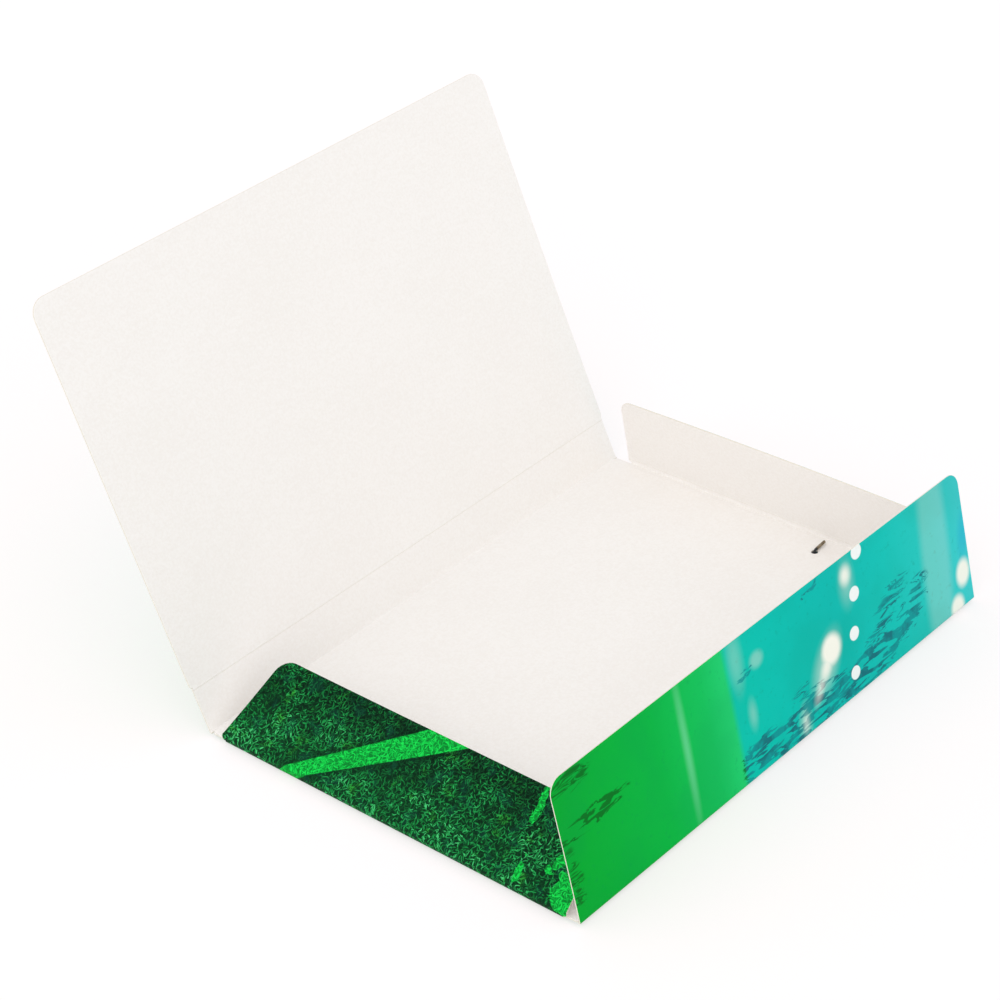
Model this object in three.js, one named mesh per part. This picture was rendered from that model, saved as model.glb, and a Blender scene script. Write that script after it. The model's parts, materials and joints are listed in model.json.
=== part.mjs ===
// Three-flap elastic folder, lying open, in millimetres, with +Z up.
//
// The folder is one sheet of board, scored and folded: a base that lies on the
// table, a spine and a front cover that lean back from its rear edge, a flap on a
// low wall at each short side, and a tall flap along the front edge. Two corner
// elastics run under the base, and metal barbs hold their ends on its inner face.
//
// The origin is the middle of the base's printed underside. +X runs along the
// spine and +Y points from the front flap to the spine.
//
// Every board is drawn flat, with its inner face at z = 0, its scored line along
// x and its free edge towards +y. A crease group then folds it up.

import * as THREE from "three";

// Board

// Thickness of the laminated board
const BOARD_THICKNESS = 0.8;
// From a scored line to the board on either side of it
const SCORE_HALF_WIDTH = 0.35;
// Rounding of a corner that is only eased
const EASED_CORNER_RADIUS = 2;

// Base

const BASE_LENGTH = 320;
const BASE_DEPTH = 240;

// Spine and front cover

const SPINE_HEIGHT = 24;
const COVER_DEPTH = 211;
// How far the cover stands out past the base at each end
const COVER_OVERHANG = 1;
const COVER_CORNER_RADIUS = 9;
// Angle at the scored line, measured from lying flat
const SPINE_FOLD = 67.5;
const COVER_FOLD = 0.8;

// Side walls and side flaps

const WALL_HEIGHT = 3;
const SIDE_FLAP_HEIGHT = 48;
// How much shorter a flap's free edge is at each end than its scored line
const SIDE_FLAP_TAPER = 7;
const SIDE_FLAP_CORNER_RADIUS = 8;
// From the base's front and rear corners to the ends of a side wall
const SIDE_FLAP_FRONT_INSET = 6.5;
const SIDE_FLAP_REAR_INSET = 9.5;
const WALL_FOOT_RADIUS = 2;
const WALL_FOLD = 90;
const LEFT_FLAP_FOLD = 60;
const RIGHT_FLAP_FOLD = 15.5;

// Front flap

const FRONT_FLAP_HEIGHT = 74;
const FRONT_FLAP_END_TRIM = 0.4;
const FRONT_FLAP_CORNER_RADIUS = 8;
const FRONT_FLAP_FOLD = 100;

// Corner elastics and their barbs

const ELASTIC_DIAMETER = 1.6;
const ELASTIC_BEND_RADIUS = 1.25;
const ELASTIC_SIDES = 8;
const ELASTIC_BEND_STEPS = 4;
// Straight end between the last bend and the barb
const ELASTIC_LEAD = 0.3;
// Play around the elastic where it passes through the base
const HOLE_PLAY = 1.1;
const HOLE_SEGMENTS = 24;
// From a scored line in to the holes beside it
const HOLE_INSET = 14;
// From the base's front corner along an edge to the hole beside it
const HOLE_REACH = 91;
const BARB_DIAMETER = 1.7;
const BARB_LENGTH = 7.4;
const BARB_NECK_DEPTH = 0.15;
const BARB_NECK_WIDTH = 1.2;
const BARB_NOSE = 0.5;
// Angle at which a barb's nose stands up from the base
const BARB_LIFT = 6;
const BARB_SEGMENTS = 16;
// Between pieces that lie on or in one another
const RESTING_GAP = 0.3;

// Steps in a quarter turn of a rounded corner
const CORNER_STEPS = 6;

const boardMaterial = new THREE.MeshStandardMaterial({ color: 0xf3f0ea, roughness: 0.55, metalness: 0 });
const printMaterial = new THREE.MeshStandardMaterial({ color: 0x1fae74, roughness: 0.22, metalness: 0 });
const darkPrintMaterial = new THREE.MeshStandardMaterial({ color: 0x0d5a2c, roughness: 0.22, metalness: 0 });
const elasticMaterial = new THREE.MeshStandardMaterial({ color: 0x1b1c1d, roughness: 0.85, metalness: 0 });
const barbMaterial = new THREE.MeshStandardMaterial({ color: 0x6b6355, roughness: 0.4, metalness: 1 });

const folder = new THREE.Group();

/** Closed outline through the corners { x, y, radius }, taken counter-clockwise, each rounded by its radius. */
function roundedOutline(corners) {
  const points = [];
  corners.forEach((corner, index) => {
    const here = new THREE.Vector2(corner.x, corner.y);
    const before = corners[(index + corners.length - 1) % corners.length];
    const after = corners[(index + 1) % corners.length];
    const back = new THREE.Vector2(before.x, before.y).sub(here).normalize();
    const forth = new THREE.Vector2(after.x, after.y).sub(here).normalize();
    if (corner.radius <= 0) {
      points.push(here);
      return;
    }
    const halfAngle = Math.acos(THREE.MathUtils.clamp(back.dot(forth), -1, 1)) / 2;
    const bisector = back.clone().add(forth).normalize();
    const centre = here.clone().addScaledVector(bisector, corner.radius / Math.sin(halfAngle));
    const tangentLength = corner.radius / Math.tan(halfAngle);
    const start = here.clone().addScaledVector(back, tangentLength).sub(centre);
    const turn = Math.PI - 2 * halfAngle;
    for (let step = 0; step <= CORNER_STEPS; step += 1) {
      const spoke = start.clone().rotateAround(new THREE.Vector2(0, 0), (turn * step) / CORNER_STEPS);
      points.push(centre.clone().add(spoke));
    }
  });
  return points;
}

/** Board of the given outline, with its inner face at z = 0 and the board below it. */
function boardGeometry(outline, holes = []) {
  const shape = new THREE.Shape(outline);
  holes.forEach((hole) => {
    const path = new THREE.Path();
    path.absarc(hole.x, hole.y, hole.radius, 0, 2 * Math.PI, true);
    shape.holes.push(path);
  });
  const settings = { depth: BOARD_THICKNESS, bevelEnabled: false, curveSegments: HOLE_SEGMENTS };
  const geometry = new THREE.ExtrudeGeometry(shape, settings);
  geometry.translate(0, 0, -BOARD_THICKNESS);
  return geometry;
}

/** Outline of a board that stands on a scored line: `length` on the line, `height` to its free edge. */
function flapOutline({ length, height, taper = 0, freeRadius = 0, footRadius = 0 }) {
  const half = length / 2;
  const foot = SCORE_HALF_WIDTH;
  return roundedOutline([
    { x: -half, y: foot, radius: footRadius },
    { x: half, y: foot, radius: footRadius },
    { x: half - taper, y: height, radius: freeRadius },
    { x: -half + taper, y: height, radius: freeRadius },
  ]);
}

function addBoard(parent, name, geometry, material) {
  const mesh = new THREE.Mesh(geometry, material);
  mesh.name = name;
  parent.add(mesh);
  return mesh;
}

/**
 * Group that folds what it holds about a scored line. The line lies `distance` from
 * the parent's origin in the direction `heading`, degrees from +y, on the inner face.
 */
function addCrease(parent, { distance, heading, fold }) {
  const side = new THREE.Group();
  side.rotation.z = THREE.MathUtils.degToRad(heading);
  const crease = new THREE.Group();
  crease.position.y = distance;
  crease.rotation.x = THREE.MathUtils.degToRad(fold);
  side.add(crease);
  parent.add(side);
  return crease;
}

// The inner faces' frame: its origin is above the base's middle, on its inner face

const inside = new THREE.Group();
inside.position.z = BOARD_THICKNESS;
folder.add(inside);

// Base, with a pair of holes at each front corner

const holeRadius = ELASTIC_DIAMETER / 2 + HOLE_PLAY;
const halfLength = BASE_LENGTH / 2;
const halfDepth = BASE_DEPTH / 2;

/** The two holes of one front corner, with the way that each barb lies. side is -1 at the left, 1 at the right. */
function cornerHoles(side) {
  return [
    {
      x: side * (halfLength - HOLE_INSET),
      y: -halfDepth + HOLE_REACH,
      outward: new THREE.Vector3(side, 0, 0),
    },
    {
      x: side * (halfLength - HOLE_REACH),
      y: -halfDepth + HOLE_INSET,
      outward: new THREE.Vector3(0, -1, 0),
    },
  ];
}

const corners = [
  { name: "left", holes: cornerHoles(-1) },
  { name: "right", holes: cornerHoles(1) },
];

const baseEdgeX = halfLength - SCORE_HALF_WIDTH;
const baseEdgeY = halfDepth - SCORE_HALF_WIDTH;
const baseOutline = roundedOutline([
  { x: -baseEdgeX, y: -baseEdgeY, radius: EASED_CORNER_RADIUS },
  { x: baseEdgeX, y: -baseEdgeY, radius: EASED_CORNER_RADIUS },
  { x: baseEdgeX, y: baseEdgeY, radius: EASED_CORNER_RADIUS },
  { x: -baseEdgeX, y: baseEdgeY, radius: EASED_CORNER_RADIUS },
]);
const baseHoles = corners.flatMap((corner) => corner.holes).map((hole) => ({ ...hole, radius: holeRadius }));
addBoard(inside, "base_panel", boardGeometry(baseOutline, baseHoles), boardMaterial);

// Spine and front cover

const spineCrease = addCrease(inside, { distance: halfDepth, heading: 0, fold: SPINE_FOLD });
const spineOutline = flapOutline({ length: BASE_LENGTH, height: SPINE_HEIGHT - SCORE_HALF_WIDTH });
addBoard(spineCrease, "spine_panel", boardGeometry(spineOutline), boardMaterial);

const coverCrease = addCrease(spineCrease, { distance: SPINE_HEIGHT, heading: 0, fold: COVER_FOLD });
const coverOutline = flapOutline({
  length: BASE_LENGTH + 2 * COVER_OVERHANG,
  height: COVER_DEPTH,
  freeRadius: COVER_CORNER_RADIUS,
  footRadius: EASED_CORNER_RADIUS,
});
addBoard(coverCrease, "front_cover", boardGeometry(coverOutline), boardMaterial);

// Side walls and side flaps

const wallLength = BASE_DEPTH - SIDE_FLAP_FRONT_INSET - SIDE_FLAP_REAR_INSET;
// How far a wall's middle lies in front of the base's middle
const wallOffset = (SIDE_FLAP_REAR_INSET - SIDE_FLAP_FRONT_INSET) / 2;
const sides = [
  { name: "left", heading: 90, fold: LEFT_FLAP_FOLD, material: darkPrintMaterial },
  { name: "right", heading: -90, fold: RIGHT_FLAP_FOLD, material: boardMaterial },
];
sides.forEach(({ name, heading, fold, material }) => {
  const wallCrease = addCrease(inside, { distance: halfLength, heading, fold: WALL_FOLD });
  const frontward = heading > 0 ? -wallOffset : wallOffset;
  const wallOutline = flapOutline({
    length: wallLength,
    height: WALL_HEIGHT - SCORE_HALF_WIDTH,
    footRadius: WALL_FOOT_RADIUS,
  });
  addBoard(wallCrease, `${name}_wall`, boardGeometry(wallOutline), material).position.x = frontward;

  const flapCrease = addCrease(wallCrease, { distance: WALL_HEIGHT, heading: 0, fold });
  const sideFlapOutline = flapOutline({
    length: wallLength,
    height: SIDE_FLAP_HEIGHT,
    taper: SIDE_FLAP_TAPER,
    freeRadius: SIDE_FLAP_CORNER_RADIUS,
  });
  addBoard(flapCrease, `${name}_flap`, boardGeometry(sideFlapOutline), material).position.x = frontward;
});

// Front flap

const frontCrease = addCrease(inside, { distance: halfDepth, heading: 180, fold: FRONT_FLAP_FOLD });
const frontOutline = flapOutline({
  length: BASE_LENGTH - 2 * FRONT_FLAP_END_TRIM,
  height: FRONT_FLAP_HEIGHT,
  freeRadius: FRONT_FLAP_CORNER_RADIUS,
});
addBoard(frontCrease, "front_flap", boardGeometry(frontOutline), printMaterial);

// Corner elastics

const barbHeight = BOARD_THICKNESS + RESTING_GAP + BARB_DIAMETER / 2;
const runHeight = -(RESTING_GAP + ELASTIC_DIAMETER / 2);
const down = new THREE.Vector3(0, 0, -1);
const up = new THREE.Vector3(0, 0, 1);

/** Route through stations { point, tangent }, evenly spaced in the curve's parameter. */
class StationCurve extends THREE.Curve {
  constructor(stations) {
    super();
    this.stations = stations;
  }

  between(t) {
    const place = THREE.MathUtils.clamp(t, 0, 1) * (this.stations.length - 1);
    const index = Math.min(Math.floor(place), this.stations.length - 2);
    return { from: this.stations[index], to: this.stations[index + 1], share: place - index };
  }

  getPoint(t, target = new THREE.Vector3()) {
    const { from, to, share } = this.between(t);
    return target.lerpVectors(from.point, to.point, share);
  }

  getTangent(t, target = new THREE.Vector3()) {
    const { from, to, share } = this.between(t);
    return target.lerpVectors(from.tangent, to.tangent, share).normalize();
  }

  getUtoTmapping(u) {
    return u;
  }
}

/** Stations round a square bend at `corner`, from direction `before` to direction `after`. */
function bendStations(corner, before, after) {
  const centre = corner
    .clone()
    .addScaledVector(before, -ELASTIC_BEND_RADIUS)
    .addScaledVector(after, ELASTIC_BEND_RADIUS);
  const stations = [];
  for (let step = 0; step <= ELASTIC_BEND_STEPS; step += 1) {
    const angle = ((Math.PI / 2) * step) / ELASTIC_BEND_STEPS;
    const point = centre
      .clone()
      .addScaledVector(after, -ELASTIC_BEND_RADIUS * Math.cos(angle))
      .addScaledVector(before, ELASTIC_BEND_RADIUS * Math.sin(angle));
    const tangent = before
      .clone()
      .multiplyScalar(Math.cos(angle))
      .addScaledVector(after, Math.sin(angle));
    stations.push({ point, tangent });
  }
  return stations;
}

/** Elastic from one barb, down through its hole, across the corner under the base, and up to the other barb. */
function elasticGeometry([first, second]) {
  const above = (hole) => new THREE.Vector3(hole.x, hole.y, barbHeight);
  const below = (hole) => new THREE.Vector3(hole.x, hole.y, runHeight);
  const endOf = (hole) => above(hole).addScaledVector(hole.outward, ELASTIC_BEND_RADIUS + ELASTIC_LEAD);
  const across = below(second).sub(below(first)).normalize();
  const inFirst = first.outward.clone().negate();
  const stations = [
    { point: endOf(first), tangent: inFirst },
    ...bendStations(above(first), inFirst, down),
    ...bendStations(below(first), down, across),
    ...bendStations(below(second), across, up),
    ...bendStations(above(second), up, second.outward),
    { point: endOf(second), tangent: second.outward },
  ];
  const section = new THREE.Shape();
  section.absarc(0, 0, ELASTIC_DIAMETER / 2, 0, 2 * Math.PI, false);
  return new THREE.ExtrudeGeometry(section, {
    steps: stations.length - 1,
    curveSegments: ELASTIC_SIDES,
    extrudePath: new StationCurve(stations),
  });
}

/** Crimped metal barb along +y from its open end at y = 0, with a neck at each crimp and a rounded nose. */
function barbGeometry() {
  const radius = BARB_DIAMETER / 2;
  const neck = radius - BARB_NECK_DEPTH;
  const necks = [BARB_LENGTH / 3, (2 * BARB_LENGTH) / 3];
  const profile = [new THREE.Vector2(0, 0), new THREE.Vector2(radius, 0)];
  necks.forEach((middle) => {
    profile.push(new THREE.Vector2(radius, middle - BARB_NECK_WIDTH / 2));
    profile.push(new THREE.Vector2(neck, middle));
    profile.push(new THREE.Vector2(radius, middle + BARB_NECK_WIDTH / 2));
  });
  profile.push(new THREE.Vector2(radius, BARB_LENGTH - BARB_NOSE));
  profile.push(new THREE.Vector2(radius - BARB_NOSE, BARB_LENGTH));
  profile.push(new THREE.Vector2(0, BARB_LENGTH));
  return new THREE.LatheGeometry(profile, BARB_SEGMENTS);
}

corners.forEach(({ name, holes }) => {
  const elastic = new THREE.Mesh(elasticGeometry(holes), elasticMaterial);
  elastic.name = `${name}_elastic`;
  folder.add(elastic);
  holes.forEach((hole, index) => {
    const barb = new THREE.Mesh(barbGeometry(), barbMaterial);
    barb.name = `${name}_${index === 0 ? "side" : "front"}_barb`;
    const hinge = hole.outward.clone().cross(up);
    const way = hole.outward.clone().applyAxisAngle(hinge, THREE.MathUtils.degToRad(BARB_LIFT));
    barb.quaternion.setFromUnitVectors(new THREE.Vector3(0, 1, 0), way);
    barb.position.set(hole.x, hole.y, barbHeight);
    barb.position.addScaledVector(hole.outward, ELASTIC_BEND_RADIUS + ELASTIC_LEAD + RESTING_GAP);
    folder.add(barb);
  });
});

export default folder;
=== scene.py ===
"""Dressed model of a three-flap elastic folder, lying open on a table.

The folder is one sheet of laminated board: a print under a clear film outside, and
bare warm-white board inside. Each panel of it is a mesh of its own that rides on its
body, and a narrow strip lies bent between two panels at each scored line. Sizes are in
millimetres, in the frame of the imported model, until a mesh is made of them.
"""

import json
import logging
import math
from collections.abc import Sequence
from dataclasses import dataclass, field
from enum import Enum

import bmesh
import bpy
from bpy.types import ID, ColorRamp, Material, Node, NodeSocket, NodeTree, Object
from mathutils import Matrix, Vector
from mathutils.geometry import tessellate_polygon

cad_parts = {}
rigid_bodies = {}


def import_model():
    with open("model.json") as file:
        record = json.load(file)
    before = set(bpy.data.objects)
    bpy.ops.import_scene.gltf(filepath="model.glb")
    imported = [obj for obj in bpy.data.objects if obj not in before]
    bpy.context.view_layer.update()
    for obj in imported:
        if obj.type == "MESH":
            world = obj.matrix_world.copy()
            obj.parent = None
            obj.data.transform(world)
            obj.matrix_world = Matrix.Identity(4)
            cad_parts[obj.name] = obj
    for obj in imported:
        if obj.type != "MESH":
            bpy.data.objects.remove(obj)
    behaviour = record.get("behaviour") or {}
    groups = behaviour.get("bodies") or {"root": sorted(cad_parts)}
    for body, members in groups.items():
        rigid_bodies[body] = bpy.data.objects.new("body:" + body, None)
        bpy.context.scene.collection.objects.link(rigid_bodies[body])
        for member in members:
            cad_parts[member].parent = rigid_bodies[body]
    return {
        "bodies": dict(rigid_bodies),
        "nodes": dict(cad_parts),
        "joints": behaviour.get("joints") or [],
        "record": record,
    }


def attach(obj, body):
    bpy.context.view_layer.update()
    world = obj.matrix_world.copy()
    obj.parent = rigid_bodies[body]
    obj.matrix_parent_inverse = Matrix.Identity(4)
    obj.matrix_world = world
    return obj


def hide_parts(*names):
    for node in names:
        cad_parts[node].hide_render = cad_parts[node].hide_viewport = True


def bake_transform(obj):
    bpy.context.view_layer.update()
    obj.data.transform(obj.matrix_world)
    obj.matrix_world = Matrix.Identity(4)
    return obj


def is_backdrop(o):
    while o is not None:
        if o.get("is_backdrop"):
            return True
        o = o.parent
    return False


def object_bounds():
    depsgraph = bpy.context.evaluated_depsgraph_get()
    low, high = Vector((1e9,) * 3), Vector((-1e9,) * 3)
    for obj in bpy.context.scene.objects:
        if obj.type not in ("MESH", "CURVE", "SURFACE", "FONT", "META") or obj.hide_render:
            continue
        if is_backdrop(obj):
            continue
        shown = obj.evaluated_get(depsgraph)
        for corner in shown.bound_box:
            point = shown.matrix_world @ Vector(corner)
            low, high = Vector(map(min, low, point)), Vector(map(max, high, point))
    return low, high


log = logging.getLogger("folder")

# Metres in a millimetre
MM = 0.001

# Millimetres of flat board in one unit of the print's UV map
PRINT_UNIT = 100.0

# Name of the UV map that lays the flat board out
PRINT_MAP = "print"

# Name of the attribute that holds how high a strand of the elastic stands
RELIEF_ATTRIBUTE = "strand_height"

# Mesh steps round a quarter of a circle
CORNER_STEPS = 6

# Rounds in which a crease's bend settles
BLEND_ROUNDS = 30

# Octaves of a noise, from plain waves to fine grain
PLAIN, SOFT, BROKEN, FINE = 1.0, 2.0, 3.0, 4.0

WHITE = (1.0, 1.0, 1.0, 1.0)


class Side(Enum):
    """Which slot of a board mesh a face takes its material from."""

    INSIDE = 0
    OUTSIDE = 1
    CUT_EDGE = 2


class Kind(Enum):
    """Kinds of node that come again: Blender's name, and the properties that go with it."""

    ADD = ("ShaderNodeMath", {"operation": "ADD"})
    SUBTRACT = ("ShaderNodeMath", {"operation": "SUBTRACT"})
    MULTIPLY = ("ShaderNodeMath", {"operation": "MULTIPLY"})
    MULTIPLY_ADD = ("ShaderNodeMath", {"operation": "MULTIPLY_ADD"})
    DIVIDE = ("ShaderNodeMath", {"operation": "DIVIDE"})
    POWER = ("ShaderNodeMath", {"operation": "POWER"})
    SINE = ("ShaderNodeMath", {"operation": "SINE"})
    ABSOLUTE = ("ShaderNodeMath", {"operation": "ABSOLUTE"})
    MAXIMUM = ("ShaderNodeMath", {"operation": "MAXIMUM"})
    LESS_THAN = ("ShaderNodeMath", {"operation": "LESS_THAN"})
    # 0 at the first number and 1 at the second, which may be the lower one
    SMOOTH_STEP = ("ShaderNodeMapRange", {"interpolation_type": "SMOOTHSTEP"})
    LENGTH = ("ShaderNodeVectorMath", {"operation": "LENGTH"})
    MIX = ("ShaderNodeMix", {"data_type": "RGBA"})
    RAMP = ("ShaderNodeValToRGB", {})
    SOLID_NOISE = ("ShaderNodeTexNoise", {})
    FLAT_NOISE = ("ShaderNodeTexNoise", {"noise_dimensions": "2D"})
    FLAT_CELLS = ("ShaderNodeTexVoronoi", {"voronoi_dimensions": "2D"})
    MAPPING = ("ShaderNodeMapping", {})
    SPLIT_PLACE = ("ShaderNodeSeparateXYZ", {})
    SPLIT_COLOUR = ("ShaderNodeSeparateColor", {})
    COORDINATES = ("ShaderNodeTexCoord", {})
    BUMP = ("ShaderNodeBump", {})


Settings = dict[str, object]
Pair = tuple[float, float]
Stops = tuple[tuple[float, str], ...]
Face = tuple[Sequence[int], Side]

# What may feed an input: a socket, or a node whose first output in use is meant
Source = Node | NodeSocket


# Colours and nodes


def linear(hex_code: str) -> tuple[float, float, float, float]:
    """Turns an sRGB hex colour to a linear colour with full alpha.

    Args:
        hex_code: Six hex digits after a number sign.

    Returns:
        Red, green, blue and alpha, each from 0 to 1.
    """
    channels = [int(hex_code[place : place + 2], 16) / 255 for place in (1, 3, 5)]
    straight = [c / 12.92 if c <= 0.04045 else ((c + 0.055) / 1.055) ** 2.4 for c in channels]
    return (*straight, 1.0)


def fill(node: Node, inputs: dict[str | int, object]) -> None:
    """Links a node's inputs or sets their values.

    Args:
        node: The node.
        inputs: What each input gets, by the input's name or number.
    """
    for name, value in inputs.items():
        if isinstance(value, Node):
            value = next(output for output in value.outputs if output.enabled)
        if isinstance(value, NodeSocket):
            node.id_data.links.new(value, node.inputs[name])
        else:
            node.inputs[name].default_value = value


def add_node(
    tree: NodeTree,
    kind: Kind | str,
    *values: object,
    inputs: Settings | None = None,
    **settings: object,
) -> Node:
    """Adds a node, sets its properties, and fills or links its inputs.

    Args:
        tree: The node tree that gets the node.
        kind: The kind of node, or Blender's name for one that is used once.
        *values: What the node's first inputs in use get, in their order.
        inputs: What other inputs get, by name.
        **settings: Properties of the node.

    Returns:
        The new node.
    """
    type_name, fixed = kind.value if isinstance(kind, Kind) else (kind, {})
    node = tree.nodes.new(type_name)
    for name, value in {**fixed, **settings}.items():
        setattr(node, name, value)
    in_use = [number for number, socket in enumerate(node.inputs) if socket.enabled]
    fill(node, dict(zip(in_use, values, strict=False)))
    fill(node, inputs or {})
    return node


def set_stops(ramp: ColorRamp, stops: Stops) -> None:
    """Gives a colour ramp its stops.

    Args:
        ramp: The colour ramp.
        stops: Each stop's position and sRGB hex colour.
    """
    while len(ramp.elements) < len(stops):
        ramp.elements.new(0.5)
    for element, (position, hex_code) in zip(ramp.elements, stops, strict=True):
        element.position = position
        element.color = linear(hex_code)


def new_material(name: str) -> tuple[Material, NodeTree, Node]:
    """Makes a material with one Principled shader.

    Args:
        name: The material's name.

    Returns:
        The material, its node tree and its Principled node.
    """
    material = bpy.data.materials.new(name)
    material.use_nodes = True
    tree = material.node_tree
    return material, tree, tree.nodes["Principled BSDF"]


# Finishes


@dataclass(frozen=True)
class BareBoard:
    """Bleached folding boxboard, pressed but uncoated."""

    # Pulp scatters light evenly: a warm white with a faint, matte fibre
    colour: str = "#F5F2EF"
    fibre_colour: str = "#F1EDE9"
    roughness: float = 0.62
    gloss: float = 0.3
    # Fibre clumps are 0.5 mm on the real board, drawn coarser so that they show
    fibre_size: float = 1.4
    fibre_grain: float = 0.6
    fibre_depth: float = 0.05
    cloud_size: float = 60.0
    cloud_share: float = 0.25
    shade_range: Pair = (0.45, 0.8)
    bump: float = 0.12

    def build(self) -> Material:
        """Makes the board's inner face.

        Returns:
            The material.
        """
        material, tree, shader = new_material("bare_boxboard")
        place = add_node(tree, Kind.COORDINATES).outputs["Object"]
        fine = (1 / (self.fibre_size * MM), FINE, self.fibre_grain)
        fibre = add_node(tree, Kind.SOLID_NOISE, place, *fine)
        cloud = add_node(tree, Kind.SOLID_NOISE, place, 1 / (self.cloud_size * MM), SOFT)
        blotch = add_node(tree, Kind.MULTIPLY_ADD, cloud, self.cloud_share, fibre)
        shade = add_node(tree, Kind.SMOOTH_STEP, blotch, *self.shade_range)
        colours = (linear(self.colour), linear(self.fibre_colour))
        relief = {"Height": fibre, "Strength": self.bump, "Distance": self.fibre_depth * MM}
        finish = {
            "Base Color": add_node(tree, Kind.MIX, shade, *colours),
            "Normal": add_node(tree, Kind.BUMP, inputs=relief),
            "Roughness": self.roughness,
            "Specular IOR Level": self.gloss,
        }
        fill(shader, finish)
        return material


@dataclass(frozen=True)
class CutBoard:
    """Boxboard where a guillotine has cut it."""

    # The blade bares the cream core, with plies that run along the cut
    colour: str = "#EFEADF"
    ply_colour: str = "#D8D1C2"
    roughness: float = 0.8
    ply_size: float = 0.2

    def build(self) -> Material:
        """Makes the board's cut edge.

        Returns:
            The material.
        """
        material, tree, shader = new_material("cut_boxboard")
        place = add_node(tree, Kind.COORDINATES).outputs["Object"]
        ply = add_node(tree, Kind.SOLID_NOISE, place, 1 / (self.ply_size * MM), SOFT)
        colour = add_node(tree, Kind.MIX, ply, linear(self.colour), linear(self.ply_colour))
        fill(shader, {"Base Color": colour, "Roughness": self.roughness})
        return material


@dataclass(frozen=True)
class FilmedPrint:
    """What every print on the outside shares: offset ink under a clear, rolled-on film."""

    # Satin film: soft highlights over strong colour
    roughness: float = 0.4
    gloss: float = 0.035
    # The film's orange peel is a few millimetres wide and far shallower than it is wide
    peel_size: float = 6.0
    peel_depth: float = 0.2
    peel: float = 0.04

    def finish(self, tree: NodeTree, shader: Node, colour: Source) -> None:
        """Puts the ink's colour on a shader and lays the film over it.

        Args:
            tree: The material's node tree.
            shader: Its Principled node.
            colour: The ink's colour.
        """
        place = add_node(tree, Kind.COORDINATES).outputs["Object"]
        peel = add_node(tree, Kind.SOLID_NOISE, place, 1 / (self.peel_size * MM), PLAIN)
        relief = {"Height": peel, "Strength": self.peel, "Distance": self.peel_depth * MM}
        finish = {
            "Base Color": colour,
            "Normal": add_node(tree, Kind.BUMP, inputs=relief),
            "Roughness": self.roughness,
            "Specular IOR Level": self.gloss,
        }
        fill(shader, finish)

    def print_place(self, tree: NodeTree) -> Node:
        """Returns where a point lies on the flat board, in print units."""
        return add_node(tree, "ShaderNodeUVMap", uv_map=PRINT_MAP)


@dataclass(frozen=True)
class Blot:
    """A soft-edged ellipse of colour on the print.

    Attributes:
        place: Its middle on the flat board, in millimetres.
        size: Half its length and half its width, in millimetres.
        angle: Which way its length lies, in degrees.
        core: Share of its radius that is as strong as its middle.
        strength: How much of its colour it lays on.
    """

    place: Pair
    size: Pair
    angle: float = 0.0
    core: float = 0.0
    strength: float = 1.0

    def mask(self, tree: NodeTree, place: Source) -> Node:
        """Shades the blot.

        Args:
            tree: The material's node tree.
            place: The point's place on the flat board.

        Returns:
            How strong the blot is there.
        """
        middle = (*(part / PRINT_UNIT for part in self.place), 0.0)
        turn = (0.0, 0.0, math.radians(self.angle))
        size = (*(part / PRINT_UNIT for part in self.size), 1.0)
        own = add_node(tree, Kind.MAPPING, place, middle, turn, size, vector_type="TEXTURE")
        away = add_node(tree, Kind.LENGTH, own)
        inside = add_node(tree, Kind.SMOOTH_STEP, away, 1.0, self.core)
        return add_node(tree, Kind.MULTIPLY, inside, self.strength)


def blot_mask(tree: NodeTree, place: Source, blots: Sequence[Blot]) -> Node:
    """Shades several blots.

    Args:
        tree: The material's node tree.
        place: The point's place on the flat board.
        blots: The blots.

    Returns:
        How strong the strongest of them is there.
    """
    strongest = blots[0].mask(tree, place)
    for blot in blots[1:]:
        strongest = add_node(tree, Kind.MAXIMUM, strongest, blot.mask(tree, place))
    return strongest


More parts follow.
